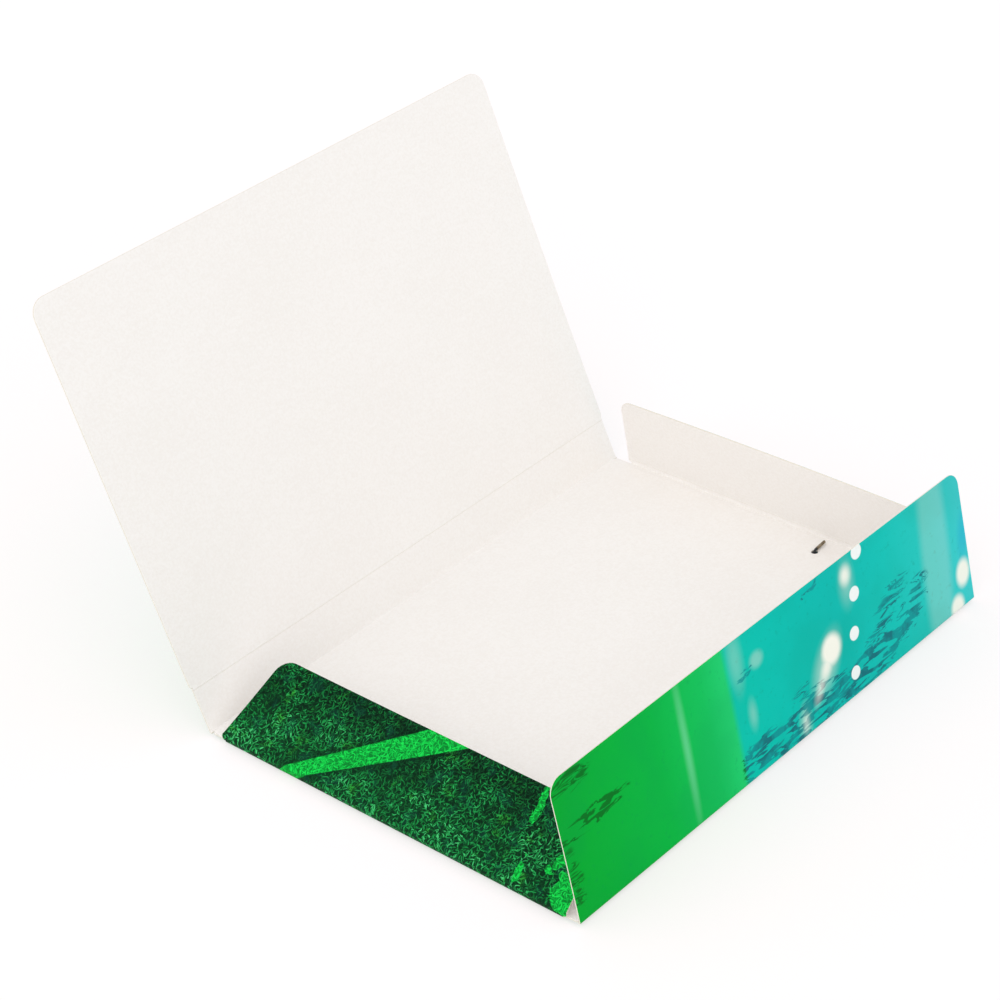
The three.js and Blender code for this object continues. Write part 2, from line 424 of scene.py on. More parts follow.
@dataclass(frozen=True)
class WashPrint(FilmedPrint):
    """Printed wash of green beside one of sea green, with dry strokes, spots and glows."""

    # Where the wash runs from and to, along the spine, in print units
    wash_span: Pair = (-1.65, 1.65)
    # An even, bright ink that grows paler along the sheet
    wash: Stops = (
        (0.0, "#00A52E"),
        (0.227, "#00B242"),
        (0.34, "#0EBE5A"),
        (0.39, "#1EC96E"),
        (0.402, "#00BFAB"),
        (0.5, "#00BDAE"),
        (0.65, "#04B7AD"),
        (0.78, "#0DBFB4"),
        (0.9, "#26C4BD"),
        (1.0, "#40C9CC"),
    )
    # Where the wash changes from green to sea green, in print units
    shore: float = -0.34
    shore_width: float = 0.02
    # Clouds and specks in the wash: size in millimetres, noise where they begin and where
    # they are full, and how much of the deep colour they take
    deep_wash_colour: str = "#007A50"
    cloud_size: float = 43.48
    cloud_range: Pair = (0.6, 0.3)
    cloud_depth: float = 0.12
    speck_size: float = 3.846
    speck_grain: float = 0.6
    speck_range: Pair = (0.58, 0.76)
    speck_depth: float = 0.2
    stroke_colours: tuple[str, str] = ("#05661E", "#0E8C8E")
    deep_stroke_colour: str = "#175F6E"
    stroke_cover: float = 0.88
    spot_colour: str = "#EEF3F1"
    glow_colour: str = "#F6F4E8"
    streak_colour: str = "#8FE6BC"
    tint_colour: str = "#12A4CE"
    # Length and width of a stroke, and which way it runs
    stroke_size: Pair = (17.0, 3.2)
    stroke_angle: float = -26.0
    stroke_bend: float = 0.45
    # Noise height that a line follows, and how far from it a line fades in and is full
    line_height: float = 0.52
    line_edge: Pair = (0.045, 0.02)
    # Crowding lifts the noise by a share: dabs and clusters fade in and are full here
    dab_lift: float = 0.17
    dab_edge: Pair = (0.7, 0.73)
    # Size of a cluster, in strokes
    cluster_size: float = 2.083
    cluster_lift: float = 0.42
    cluster_edge: Pair = (0.55, 0.67)
    crowd_edge: Pair = (0.02, 0.2)
    # The places where a stroke's colour is deep
    deep_stroke_size: float = 11.11
    deep_stroke_edge: Pair = (0.42, 0.62)
    # Where strokes crowd on the front flap
    strokes_at: tuple[Blot, ...] = (
        Blot((-17, -127), (24, 13), 0.0, 0.6, 1.35),
        Blot((24, -130), (33, 13), -6.0, 0.6, 1.35),
        Blot((70, -130), (35, 12), -8.0, 0.55, 1.3),
        Blot((107, -141), (24, 12), -38.0, 0.4),
        Blot((92, -156), (21, 8), -14.0, 0.4, 0.75),
        Blot((82, -144), (22, 5), -12.0, 0.2, 0.55),
        Blot((14, -144.5), (12, 4), -12.0, 0.3, 0.7),
        Blot((-23, -174), (8, 3.2), -18.0, 0.4, 0.9),
        Blot((34, -190.5), (10, 3.4), -16.0, 0.3, 0.8),
        Blot((-138, -165), (30, 6), -3.0, 0.5, 1.1),
        Blot((-146, -189), (19, 8), -6.0, 0.3, 0.75),
        Blot((-157, -141), (8, 24), 0.0, 0.0, 0.6),
    )
    # Glows over the strokes, and paler ones under them
    glows_at: tuple[Blot, ...] = (
        Blot((41.5, -153), (10.5, 9.8), 112.0, 0.5, 0.98),
        Blot((36, -146), (12, 6), 128.0, 0.1, 0.85),
        Blot((29, -138), (13, 5), 128.0, 0.0, 0.55),
        Blot((14, -126), (8, 4), 100.0, 0.0, 0.4),
        Blot((61, -184), (8, 6.5), 100.0, 0.1, 0.85),
        Blot((153, -138), (10, 7.5), 100.0, 0.45, 0.93),
        Blot((145, -121.5), (9, 7.5), 100.0, 0.45, 0.93),
    )
    under_glows_at: tuple[Blot, ...] = (
        Blot((36, -147), (24, 13), 126.0, 0.0, 0.4),
        Blot((61, -180), (18, 9), 96.0, 0.0, 0.2),
        Blot((-12.6, -177), (7, 6), 0.0, 0.3, 0.2),
        Blot((-22, -152), (12, 5), 92.0, 0.0, 0.16),
        Blot((-27, -184), (24, 8), 92.0, 0.1, 0.13),
        Blot((133, -158), (95, 15), 93.0, 0.5, 0.12),
        Blot((127, -170), (70, 5), 93.0, 0.2, 0.08),
        Blot((14, -127), (14, 7), 100.0, 0.0, 0.35),
    )
    spots_at: tuple[Blot, ...] = (
        Blot((72.4, -191.6), (4.4, 4.4), 0.0, 0.85),
        Blot((65.5, -171.5), (4.2, 4.2), 0.0, 0.85),
        Blot((60.5, -151.7), (4.0, 4.0), 0.0, 0.85),
        Blot((56.6, -131.4), (3.9, 3.9), 0.0, 0.85),
    )
    streaks_at: tuple[Blot, ...] = (
        Blot((-70.4, -160), (62, 4.2), 91.5, 0.0, 0.36),
        Blot((-70.6, -172), (40, 1.8), 91.5, 0.0, 0.25),
    )
    tints_at: tuple[Blot, ...] = (Blot((157, -158), (20, 7), 100.0, 0.1, 0.45),)
    # The rest of the sheet, behind the front flap, holds scattered ones
    rest_range: Pair = (-1.19, -1.1)
    patch_size: float = 58.82
    patch_edge: Pair = (0.5, 0.68)
    spot_pitch: float = 21.0
    spot_radius: float = 3.0
    spot_share: float = 0.2
    # Where a spot begins and ends to fade, in radii
    spot_edge: Pair = (0.85, 1.15)
    glow_pitch: float = 52.0
    glow_share: float = 0.5
    glow_strength: float = 0.5
    # The same for a glow, as shares of its pitch
    glow_edge: Pair = (0.0, 0.3)

    def wash_colour(self, tree: NodeTree, place: Source, along: Source) -> Node:
        """Colours the wash: a ramp along the spine, with a faint cloudiness and specks.

        Args:
            tree: The material's node tree.
            place: The point's place on the flat board.
            along: How far along the spine it lies.

        Returns:
            The wash's colour.
        """
        factor = add_node(tree, "ShaderNodeMapRange", along, *self.wash_span)
        colour = add_node(tree, Kind.RAMP, factor)
        set_stops(colour.color_ramp, self.wash)
        cloud = add_node(tree, Kind.FLAT_NOISE, place, PRINT_UNIT / self.cloud_size, BROKEN)
        cloudy = add_node(tree, Kind.SMOOTH_STEP, cloud, *self.cloud_range)
        cloudy = add_node(tree, Kind.MULTIPLY, cloudy, self.cloud_depth)
        fine = (PRINT_UNIT / self.speck_size, FINE, self.speck_grain)
        speck = add_node(tree, Kind.FLAT_NOISE, place, *fine)
        specked = add_node(tree, Kind.SMOOTH_STEP, speck, *self.speck_range)
        specked = add_node(tree, Kind.MULTIPLY, specked, self.speck_depth)
        deep = add_node(tree, Kind.MAXIMUM, cloudy, specked)
        return add_node(tree, Kind.MIX, deep, colour, linear(self.deep_wash_colour))

    def ink(self, tree: NodeTree, place: Source, crowding: Source) -> Node:
        """Draws dry brush strokes.

        Args:
            tree: The material's node tree.
            place: The point's place on the flat board.
            crowding: From 0, no strokes, to 1, where they crowd.

        Returns:
            1 where a stroke has left ink, and 0 elsewhere.
        """
        turn = (0.0, 0.0, math.radians(-self.stroke_angle))
        size = (*(PRINT_UNIT / part for part in self.stroke_size), 1.0)
        turned = add_node(tree, Kind.MAPPING, place, inputs={"Rotation": turn, "Scale": size})
        bent = {"Distortion": self.stroke_bend}
        bristle = add_node(tree, Kind.FLAT_NOISE, turned, 1.0, BROKEN, inputs=bent)
        clump = add_node(tree, Kind.FLAT_NOISE, turned, 1 / self.cluster_size, SOFT)
        # Fine broken lines, and fuller dabs where strokes crowd
        beside = add_node(tree, Kind.SUBTRACT, bristle, self.line_height)
        beside = add_node(tree, Kind.ABSOLUTE, beside)
        lines = add_node(tree, Kind.SMOOTH_STEP, beside, *self.line_edge)
        fuller = add_node(tree, Kind.MULTIPLY_ADD, crowding, self.dab_lift, bristle)
        dabs = add_node(tree, Kind.SMOOTH_STEP, fuller, *self.dab_edge)
        clustered = add_node(tree, Kind.MULTIPLY_ADD, crowding, self.cluster_lift, clump)
        there = add_node(tree, Kind.SMOOTH_STEP, clustered, *self.cluster_edge)
        crowded = add_node(tree, Kind.SMOOTH_STEP, crowding, *self.crowd_edge)
        there = add_node(tree, Kind.MULTIPLY, there, crowded)
        strokes = add_node(tree, Kind.MAXIMUM, lines, dabs)
        return add_node(tree, Kind.MULTIPLY, strokes, there)

    def scatter(
        self,
        tree: NodeTree,
        place: Source,
        pitch: float,
        edge: Pair,
        share: float,
    ) -> Node:
        """Scatters round spots.

        Args:
            tree: The material's node tree.
            place: The point's place on the flat board.
            pitch: Mean distance between places that may hold a spot, in millimetres.
            edge: Radii where a spot begins and ends to fade, as shares of the pitch.
            share: Which part of the places holds a spot.

        Returns:
            1 inside a spot, and 0 outside.
        """
        loose = {"Randomness": 0.7}
        cell = add_node(tree, Kind.FLAT_CELLS, place, PRINT_UNIT / pitch, inputs=loose)
        disc = add_node(tree, Kind.SMOOTH_STEP, cell, edge[1], edge[0])
        chance = add_node(tree, Kind.SPLIT_COLOUR, cell.outputs["Color"])
        held = add_node(tree, Kind.LESS_THAN, chance, share)
        return add_node(tree, Kind.MULTIPLY, disc, held)

    def build(self) -> Material:
        """Makes the wash print.

        Returns:
            The material.
        """
        material, tree, shader = new_material("filmed_wash_print")
        place = self.print_place(tree)
        axes = add_node(tree, Kind.SPLIT_PLACE, place)
        along, up = axes.outputs["X"], axes.outputs["Y"]
        colour = self.wash_colour(tree, place, along)
        half = self.shore_width / 2
        sea = add_node(tree, Kind.SMOOTH_STEP, along, self.shore - half, self.shore + half)
        rest = add_node(tree, Kind.SMOOTH_STEP, up, *self.rest_range)
        rest = add_node(tree, Kind.MULTIPLY, rest, sea)
        for blots, over in (
            (self.streaks_at, self.streak_colour),
            (self.tints_at, self.tint_colour),
            (self.under_glows_at, self.glow_colour),
        ):
            laid = blot_mask(tree, place, blots)
            colour = add_node(tree, Kind.MIX, laid, colour, linear(over))

        patch = add_node(tree, Kind.FLAT_NOISE, place, PRINT_UNIT / self.patch_size, SOFT)
        patch = add_node(tree, Kind.SMOOTH_STEP, patch, *self.patch_edge)
        patch = add_node(tree, Kind.MULTIPLY, patch, rest)
        crowding = add_node(tree, Kind.MAXIMUM, blot_mask(tree, place, self.strokes_at), patch)
        scale = PRINT_UNIT / self.deep_stroke_size
        deep = add_node(tree, Kind.FLAT_NOISE, place, scale, BROKEN)
        deep = add_node(tree, Kind.SMOOTH_STEP, deep, *self.deep_stroke_edge)
        deep = add_node(tree, Kind.MULTIPLY, deep, sea)
        stroke = add_node(tree, Kind.MIX, sea, *(linear(code) for code in self.stroke_colours))
        stroke = add_node(tree, Kind.MIX, deep, stroke, linear(self.deep_stroke_colour))
        inked = self.ink(tree, place, crowding)
        inked = add_node(tree, Kind.MULTIPLY, inked, self.stroke_cover)
        colour = add_node(tree, Kind.MIX, inked, colour, stroke)

        radius = self.spot_radius / self.spot_pitch
        edge = (radius * self.spot_edge[0], radius * self.spot_edge[1])
        spot = self.scatter(tree, place, self.spot_pitch, edge, self.spot_share)
        spot = add_node(tree, Kind.MULTIPLY, spot, rest)
        glow = self.scatter(tree, place, self.glow_pitch, self.glow_edge, self.glow_share)
        glow = add_node(tree, Kind.MULTIPLY, glow, rest)
        glow = add_node(tree, Kind.MULTIPLY, glow, self.glow_strength)
        for scattered, blots, over in (
            (glow, self.glows_at, self.glow_colour),
            (spot, self.spots_at, self.spot_colour),
        ):
            laid = add_node(tree, Kind.MAXIMUM, scattered, blot_mask(tree, place, blots))
            colour = add_node(tree, Kind.MIX, laid, colour, linear(over))
        self.finish(tree, shader, colour)
        return material


@dataclass(frozen=True)
class TurfPrint(FilmedPrint):
    """Close print of turf: short, crossing blades, with a paler mown band."""

    # Dark between the blades, and brighter the more a blade catches the light
    ground: Stops = (
        (0.0, "#021C0E"),
        (0.1, "#052F18"),
        (0.3, "#0B4522"),
        (0.55, "#127233"),
        (0.8, "#239A4E"),
        (1.0, "#49C072"),
    )
    band_ground: Stops = (
        (0.0, "#077A2C"),
        (0.35, "#0BB53F"),
        (1.0, "#1CE053"),
    )
    dry_colour: str = "#2F9A2C"
    damp_colour: str = "#0C4A3A"
    # Sizes in millimetres
    blade_length: float = 4.0
    blade_width: float = 0.75
    wave_size: float = 3.333
    clump_size: float = 25.0
    hue_size: float = 9.091
    tuft_tooth: float = 5.263
    # Share of a blade's half size that is as light as its middle, and how few are light
    blade_core: float = 0.4
    blade_contrast: float = 2.0
    # Noise where a clump begins and is full, how much light it adds, and what is there
    clump_edge: Pair = (0.25, 0.75)
    clump_light: float = 0.5
    base_light: float = 0.4
    # Noise where dry and damp places begin and are full
    dry_edge: Pair = (0.6, 0.78)
    damp_edge: Pair = (0.45, 0.3)
    damp_strength: float = 0.3
    # Distance between the blades of each layer
    layers: tuple[float, ...] = (2.0, 2.6, 2.2, 3.0, 2.4, 3.4, 1.8)
    # How far the waves bend the blades, in print units
    wave_reach: float = 0.02
    # Where the turf grows lighter towards its scored line, in print units, how much light
    # its ground gets there, and how much more its blades get
    foot_span: Pair = (-2.1, -1.66)
    foot_light: float = 0.08
    foot_gain: float = 0.35
    # The mown band's middle: how far up the board it lies at x = 0, and its slope
    band_start: float = 2.92
    band_slope: float = 1.42
    # Half the band's height at the wall's foot, and how it widens from there
    band_half: float = 0.066
    band_widening: float = 0.125
    band_foot: float = -1.626
    band_edge: float = 0.006
    # The turf is this much lighter where it lies this far past the band
    band_shade: Pair = (0.5, 0.09)
    # Tufts: noise that tears their edge, how close to one it tears, and how far from the band
    torn_share: float = 0.9
    torn_edge: Pair = (0.85, 0.9)
    near_edge: Pair = (0.02, 0.06)
    clear_edge: Pair = (0.2, 0.3)
    # Smaller pale places near the front
    tufts_at: tuple[Blot, ...] = (
        Blot((-199, -70), (13, 3.2), -6.0, 0.3, 0.95),
        Blot((-168, -79), (10, 2.8), -10.0, 0.3, 0.95),
        Blot((-182, -96), (11, 5), 24.0, 0.2, 0.95),
        Blot((-167, -107), (15, 10), -35.0, 0.3, 1.0),
    )

    def blades(self, tree: NodeTree, place: Source, pitch: float) -> Node:
        """Scatters the blades of one layer, each turned its own way.

        Args:
            tree: The material's node tree.
            place: The point's place on the flat board.
            pitch: Mean distance between blades, in millimetres.

        Returns:
            How light the blade there is, or 0 between blades.
        """
        shift = (7.0 * pitch, 3.0 * pitch, 0.0)
        scale = (PRINT_UNIT / pitch, PRINT_UNIT / pitch, 1.0)
        scaled = add_node(tree, Kind.MAPPING, place, shift, (0.0, 0.0, pitch), scale)
        loose = {"Randomness": 1.0}
        cell = add_node(tree, Kind.FLAT_CELLS, scaled, 1.0, inputs=loose).outputs
        chance = add_node(tree, Kind.SPLIT_COLOUR, cell["Color"]).outputs
        parts = (scaled, cell["Position"])
        own = add_node(tree, "ShaderNodeVectorMath", *parts, operation="SUBTRACT")
        turn = {"Angle": add_node(tree, Kind.MULTIPLY, chance["Red"], math.tau)}
        turned = add_node(
            tree,
            "ShaderNodeVectorRotate",
            own,
            inputs=turn,
            rotation_type="Z_AXIS",
        )
        size = (2 * pitch / self.blade_length, 2 * pitch / self.blade_width, 0.0)
        blade = add_node(tree, "ShaderNodeVectorMath", turned, size, operation="MULTIPLY")
        away = add_node(tree, Kind.LENGTH, blade)
        inside = add_node(tree, Kind.SMOOTH_STEP, away, 1.0, self.blade_core)
        light = add_node(tree, Kind.POWER, chance["Green"], self.blade_contrast)
        return add_node(tree, Kind.MULTIPLY, inside, light)

    def past_band(self, tree: NodeTree, place: Source) -> Node:
        """Measures from the mown band.

        Args:
            tree: The material's node tree.
            place: The point's place on the flat board.

        Returns:
            How far it lies outside the band, in print units.
        """
        axes = add_node(tree, Kind.SPLIT_PLACE, place).outputs
        level = add_node(tree, Kind.MULTIPLY_ADD, axes["X"], self.band_slope, self.band_start)
        away = add_node(tree, Kind.SUBTRACT, axes["Y"], level)
        away = add_node(tree, Kind.ABSOLUTE, away)
        out = add_node(tree, Kind.SUBTRACT, self.band_foot, axes["X"])
        half = add_node(tree, Kind.MULTIPLY_ADD, out, self.band_widening, self.band_half)
        return add_node(tree, Kind.SUBTRACT, away, half)

    def tufts(self, tree: NodeTree, wavy: Source, past: Source) -> Node:
        """Draws the ragged pale tufts.

        Args:
            tree: The material's node tree.
            wavy: The point's place on the flat board, bent by the waves.
            past: How far it lies outside the mown band.

        Returns:
            1 in a tuft, and 0 elsewhere.
        """
        loose = {"Randomness": 1.0}
        tooth = PRINT_UNIT / self.tuft_tooth
        ragged = add_node(tree, Kind.FLAT_CELLS, wavy, tooth, inputs=loose).outputs["Color"]
        ragged = add_node(tree, Kind.SPLIT_COLOUR, ragged)
        mask = blot_mask(tree, wavy, self.tufts_at)
        near = add_node(tree, Kind.SMOOTH_STEP, mask, *self.near_edge)
        torn = add_node(tree, Kind.MULTIPLY_ADD, ragged, self.torn_share, mask)
        torn = add_node(tree, Kind.SMOOTH_STEP, torn, *self.torn_edge)
        torn = add_node(tree, Kind.MULTIPLY, torn, near)
        clear = add_node(tree, Kind.SMOOTH_STEP, past, *self.clear_edge)
        return add_node(tree, Kind.MULTIPLY, torn, clear)

    def build(self) -> Material:
        """Makes the turf print.

        Returns:
            The material.
        """
        material, tree, shader = new_material("filmed_turf_print")
        place = self.print_place(tree)
        waves = add_node(tree, Kind.FLAT_NOISE, place, PRINT_UNIT / self.wave_size, PLAIN)
        parts = (waves.outputs["Color"], (self.wave_reach, self.wave_reach, 0.0), place)
        wavy = add_node(tree, "ShaderNodeVectorMath", *parts, operation="MULTIPLY_ADD")
        light = self.blades(tree, wavy, self.layers[0])
        for pitch in self.layers[1:]:
            light = add_node(tree, Kind.MAXIMUM, light, self.blades(tree, wavy, pitch))
        clump = add_node(tree, Kind.FLAT_NOISE, place, PRINT_UNIT / self.clump_size, FINE)
        clump = add_node(tree, Kind.SMOOTH_STEP, clump, *self.clump_edge)
        sunlit = add_node(tree, Kind.MULTIPLY_ADD, clump, self.clump_light, self.base_light)
        dark = add_node(tree, Kind.MULTIPLY, light, sunlit)
        # The turf is darker along the band, and lighter towards its scored line
        past = self.past_band(tree, place)
        lighter, reach = self.band_shade
        shaded = add_node(tree, Kind.SMOOTH_STEP, past, 0.0, reach)
        shaded = add_node(tree, Kind.MULTIPLY_ADD, shaded, lighter, 1 - lighter)
        dark = add_node(tree, Kind.MULTIPLY, dark, shaded)
        low = add_node(tree, Kind.SPLIT_PLACE, place)
        low = add_node(tree, Kind.SMOOTH_STEP, low, *self.foot_span)
        gain = add_node(tree, Kind.MULTIPLY_ADD, low, self.foot_gain, 1.0)
        lift = add_node(tree, Kind.MULTIPLY, low, self.foot_light)
        dark = add_node(tree, Kind.MULTIPLY_ADD, dark, gain, lift)
        colour = add_node(tree, Kind.RAMP, dark)
        set_stops(colour.color_ramp, self.ground)
        hue = add_node(tree, Kind.FLAT_NOISE, place, PRINT_UNIT / self.hue_size, BROKEN)
        dry = add_node(tree, Kind.SMOOTH_STEP, hue, *self.dry_edge)
        dry = add_node(tree, Kind.MULTIPLY, dry, dark)
        damp = add_node(tree, Kind.SMOOTH_STEP, hue, *self.damp_edge)
        damp = add_node(tree, Kind.MULTIPLY, damp, self.damp_strength)
        colour = add_node(tree, Kind.MIX, dry, colour, linear(self.dry_colour))
        colour = add_node(tree, Kind.MIX, damp, colour, linear(self.damp_colour))
        band = add_node(tree, Kind.SMOOTH_STEP, past, self.band_edge, -self.band_edge)
        pale = add_node(tree, Kind.MAXIMUM, band, self.tufts(tree, wavy, past))
        mown = add_node(tree, Kind.RAMP, light)
        set_stops(mown.color_ramp, self.band_ground)
        self.finish(tree, shader, add_node(tree, Kind.MIX, pale, colour, mown))
        return material


@dataclass(frozen=True)
class BraidedElastic:
    """Rubber-cored cord in a braided polyester sleeve."""

    # Dull yarn: a soft black, with shadow painted into the colour between the strands, and a faint
    # sheen
    colour: str = "#26282A"
    valley_shadow_colour: str = "#0C0D0E"
    # Relief where the painted light on a strand's side begins, and where it is full
    strand_edge: Pair = (0.1, 0.8)
    roughness: float = 0.78
    sheen: float = 0.25

    def build(self) -> Material:
        """Makes the sleeve.

        Returns:
            The material.
        """
        material, tree, shader = new_material("braided_elastic")
        height = add_node(tree, "ShaderNodeAttribute", attribute_name=RELIEF_ATTRIBUTE)
        # Painted shade: the colour goes darker in the valleys between the strands and lighter on
        # their backs
        shade = add_node(tree, Kind.SMOOTH_STEP, height.outputs["Fac"], *self.strand_edge)
        colours = (linear(self.valley_shadow_colour), linear(self.colour))
        finish = {
            "Base Color": add_node(tree, Kind.MIX, shade, *colours),
            "Roughness": self.roughness,
            "Sheen Weight": self.sheen,
        }
        fill(shader, finish)
        return material


@dataclass(frozen=True)
class CrimpedBrass:
    """Rolled and crimped strip of nickel-plated brass."""

    # Plating gone dull: a brown-grey metal with rubbed high spots
    colour: str = "#7A6E5C"
    worn_colour: str = "#A89C86"
    roughness: float = 0.38
    tarnish_size: float = 1.6
    worn_edge: Pair = (0.42, 0.68)

    def build(self) -> Material:
        """Makes the barb's metal.

        Returns:
            The material.
        """
        material, tree, shader = new_material("crimped_brass")
        place = add_node(tree, Kind.COORDINATES).outputs["Object"]
        tarnish = add_node(tree, Kind.SOLID_NOISE, place, 1 / (self.tarnish_size * MM), FINE)
        shade = add_node(tree, Kind.SMOOTH_STEP, tarnish, *self.worn_edge)
        colours = (linear(self.colour), linear(self.worn_colour))
        finish = {
            "Base Color": add_node(tree, Kind.MIX, shade, *colours),
            "Metallic": 1.0,
            "Roughness": self.roughness,
        }
        fill(shader, finish)
        return material


# Meshes


def add_object(name: str, data: ID | None) -> Object:
    """Adds an object to the scene, at the origin.

    Args:
        name: The object's name.
        data: Its mesh, curve, light or camera.

    Returns:
        The new object.
    """
    added = bpy.data.objects.new(name, data)
    bpy.context.scene.collection.objects.link(added)
    return added


def mesh_piece(
    name: str,
    points: Sequence[Vector],
    faces: Sequence[Face],
    flat_points: Sequence[Vector],
    materials: Sequence[Material],
    smooth_below: float = 40.0,
) -> Object:
    """Makes a board mesh from points in millimetres.

    Args:
        name: The piece's name.
        points: Corners, in millimetres, in the model's frame.
        faces: Corner numbers and side of the board of each face.
        flat_points: Each corner's place on the flat board, in millimetres.
        materials: Material of each side, in the order of Side.
        smooth_below: Edges that turn by less than this many degrees are shaded smooth.

    Returns:
        The finished object, at the origin.
    """
    mesh = bpy.data.meshes.new(name)
    mesh.from_pydata([point * MM for point in points], [], [list(corners) for corners, _ in faces])
    for material in materials:
        mesh.materials.append(material)
    mesh.polygons.foreach_set("material_index", [side.value for _, side in faces])
    layer = mesh.uv_layers.new(name=PRINT_MAP)
    for loop in mesh.loops:
        flat = flat_points[loop.vertex_index]
        layer.data[loop.index].uv = (flat.x / PRINT_UNIT, flat.y / PRINT_UNIT)
    mesh.polygons.foreach_set("use_smooth", [True] * len(mesh.polygons))
    mesh.set_sharp_from_angle(angle=math.radians(smooth_below))
    mesh.update()
    return add_object(name, mesh)


@dataclass(frozen=True)
class FoldFrame:
    """Frame of a board that is folded up from another about a scored line.

    Attributes:
        before: The scored line's frame, as if the board lay flat beside its parent.
        after: The folded board's own frame.
        flat: The board's frame when the whole folder is laid flat.
        angle: How far it is folded up, in degrees.
    """

    before: Matrix
    after: Matrix
    flat: Matrix
    angle: float

    @classmethod
    def root(cls, height: float) -> "FoldFrame":
        """Returns the base's frame, with its inner face `height` above the table side."""
        lift = Matrix.Translation((0.0, 0.0, height))
        return cls(lift, lift, Matrix.Identity(4), 0.0)

    def fold(self, distance: float, heading: float, angle: float) -> "FoldFrame":
        """Returns the frame of a board that stands on one of this board's edges.

        Args:
            distance: From this frame's origin to the scored line.
            heading: Which edge, in degrees from +y.
            angle: How far the board is folded up from flat, in degrees.

        Returns:
            The frame of that board.
        """
        turn = Matrix.Rotation(math.radians(heading), 4, "Z") @ Matrix.Translation((0, distance, 0))
        before = self.after @ turn
        after = before @ Matrix.Rotation(math.radians(angle), 4, "X")
        return FoldFrame(before, after, self.flat @ turn, angle)

    def shifted(self, distance: float) -> "FoldFrame":
        """Returns the same frame, moved along its scored line."""
        shift = Matrix.Translation((distance, 0.0, 0.0))
        return FoldFrame(self.before @ shift, self.after @ shift, self.flat @ shift, self.angle)


@dataclass(frozen=True)
class Warp:
    """How far a board bends out of its plane, towards its inner face, in millimetres.

    Attributes:
        curl: At the middle of the free edge.
        bow: More at the middle of the free edge than at its ends.
        twist: At one end of the free edge, and as much the other way at the other.
        corner: At the free corners alone.
    """

    curl: float = 0.0
    bow: float = 0.0
    twist: float = 0.0
    corner: float = 0.0

    def at(self, across: float, up: float) -> float:
        """Works out the bend at a place.

        Args:
            across: The place across the board, from -1 to 1.
            up: The place up the board, from 0 at the scored line to 1.

        Returns:
            The bend there, in millimetres.
        """
        lift = up * up
        plain = self.curl + self.bow * (1 - across * across) + self.twist * across
        return lift * plain + self.corner * (across * up) ** 6


@dataclass(frozen=True)
class PanelShape:
    """Outline of a board that stands on a scored line, in millimetres.

    Attributes:
        length: Along the scored line.
        height: From the scored line to the free edge.
        taper: How much shorter the free edge is at each end.
        free_radius: Rounding of the two free corners.
        foot_radius: Rounding of the two ends of the scored line.
    """

    length: float
    height: float
    taper: float = 0.0
    free_radius: float = 1.0
    foot_radius: float = 0.0

    def half_width(self, height: float, inset: float, foot: float) -> float:
        """Works out half the board's width at a height.

        Args:
            height: Height above the scored line.
            inset: How far the outline is drawn in.
            foot: Height where the board begins.

        Returns:
            Half the width there.
        """
        top = self.height - inset
        half = self.length / 2 - inset - self.taper * height / self.height
        radius = self.free_radius - inset
        above = height - (top - radius)
        if above > 0:
            half -= radius - math.sqrt(max(radius * radius - above * above, 0.0))
        below = foot + self.foot_radius - height
        if below > 0:
            half -= self.foot_radius - math.sqrt(max(self.foot_radius**2 - below * below, 0.0))
        return half

    def row_heights(self, foot: float, inset: float, spacing: float) -> list[float]:
        """Places a mesh's rows, as many for any inset.

        Args:
            foot: Height of the lowest row.
            inset: How far the outline is drawn in.
            spacing: Distance between rows on the plain part of the board.

        Returns:
            The height of each row, from the foot up.
        """
        radius = self.free_radius - inset
        turns = [math.pi / 2 * step / CORNER_STEPS for step in range(1, CORNER_STEPS + 1)]
        rows = [foot]
        if self.foot_radius > 0:
            rows += [foot + self.foot_radius * (1 - math.cos(turn)) for turn in turns]
        plain_end = self.height - inset - radius
        count = max(1, round((self.height - self.free_radius - foot - self.foot_radius) / spacing))
        start = rows[-1]
        rows += [start + (plain_end - start) * row / count for row in range(1, count + 1)]
        rows += [plain_end + radius * math.sin(turn) for turn in turns]
        return rows


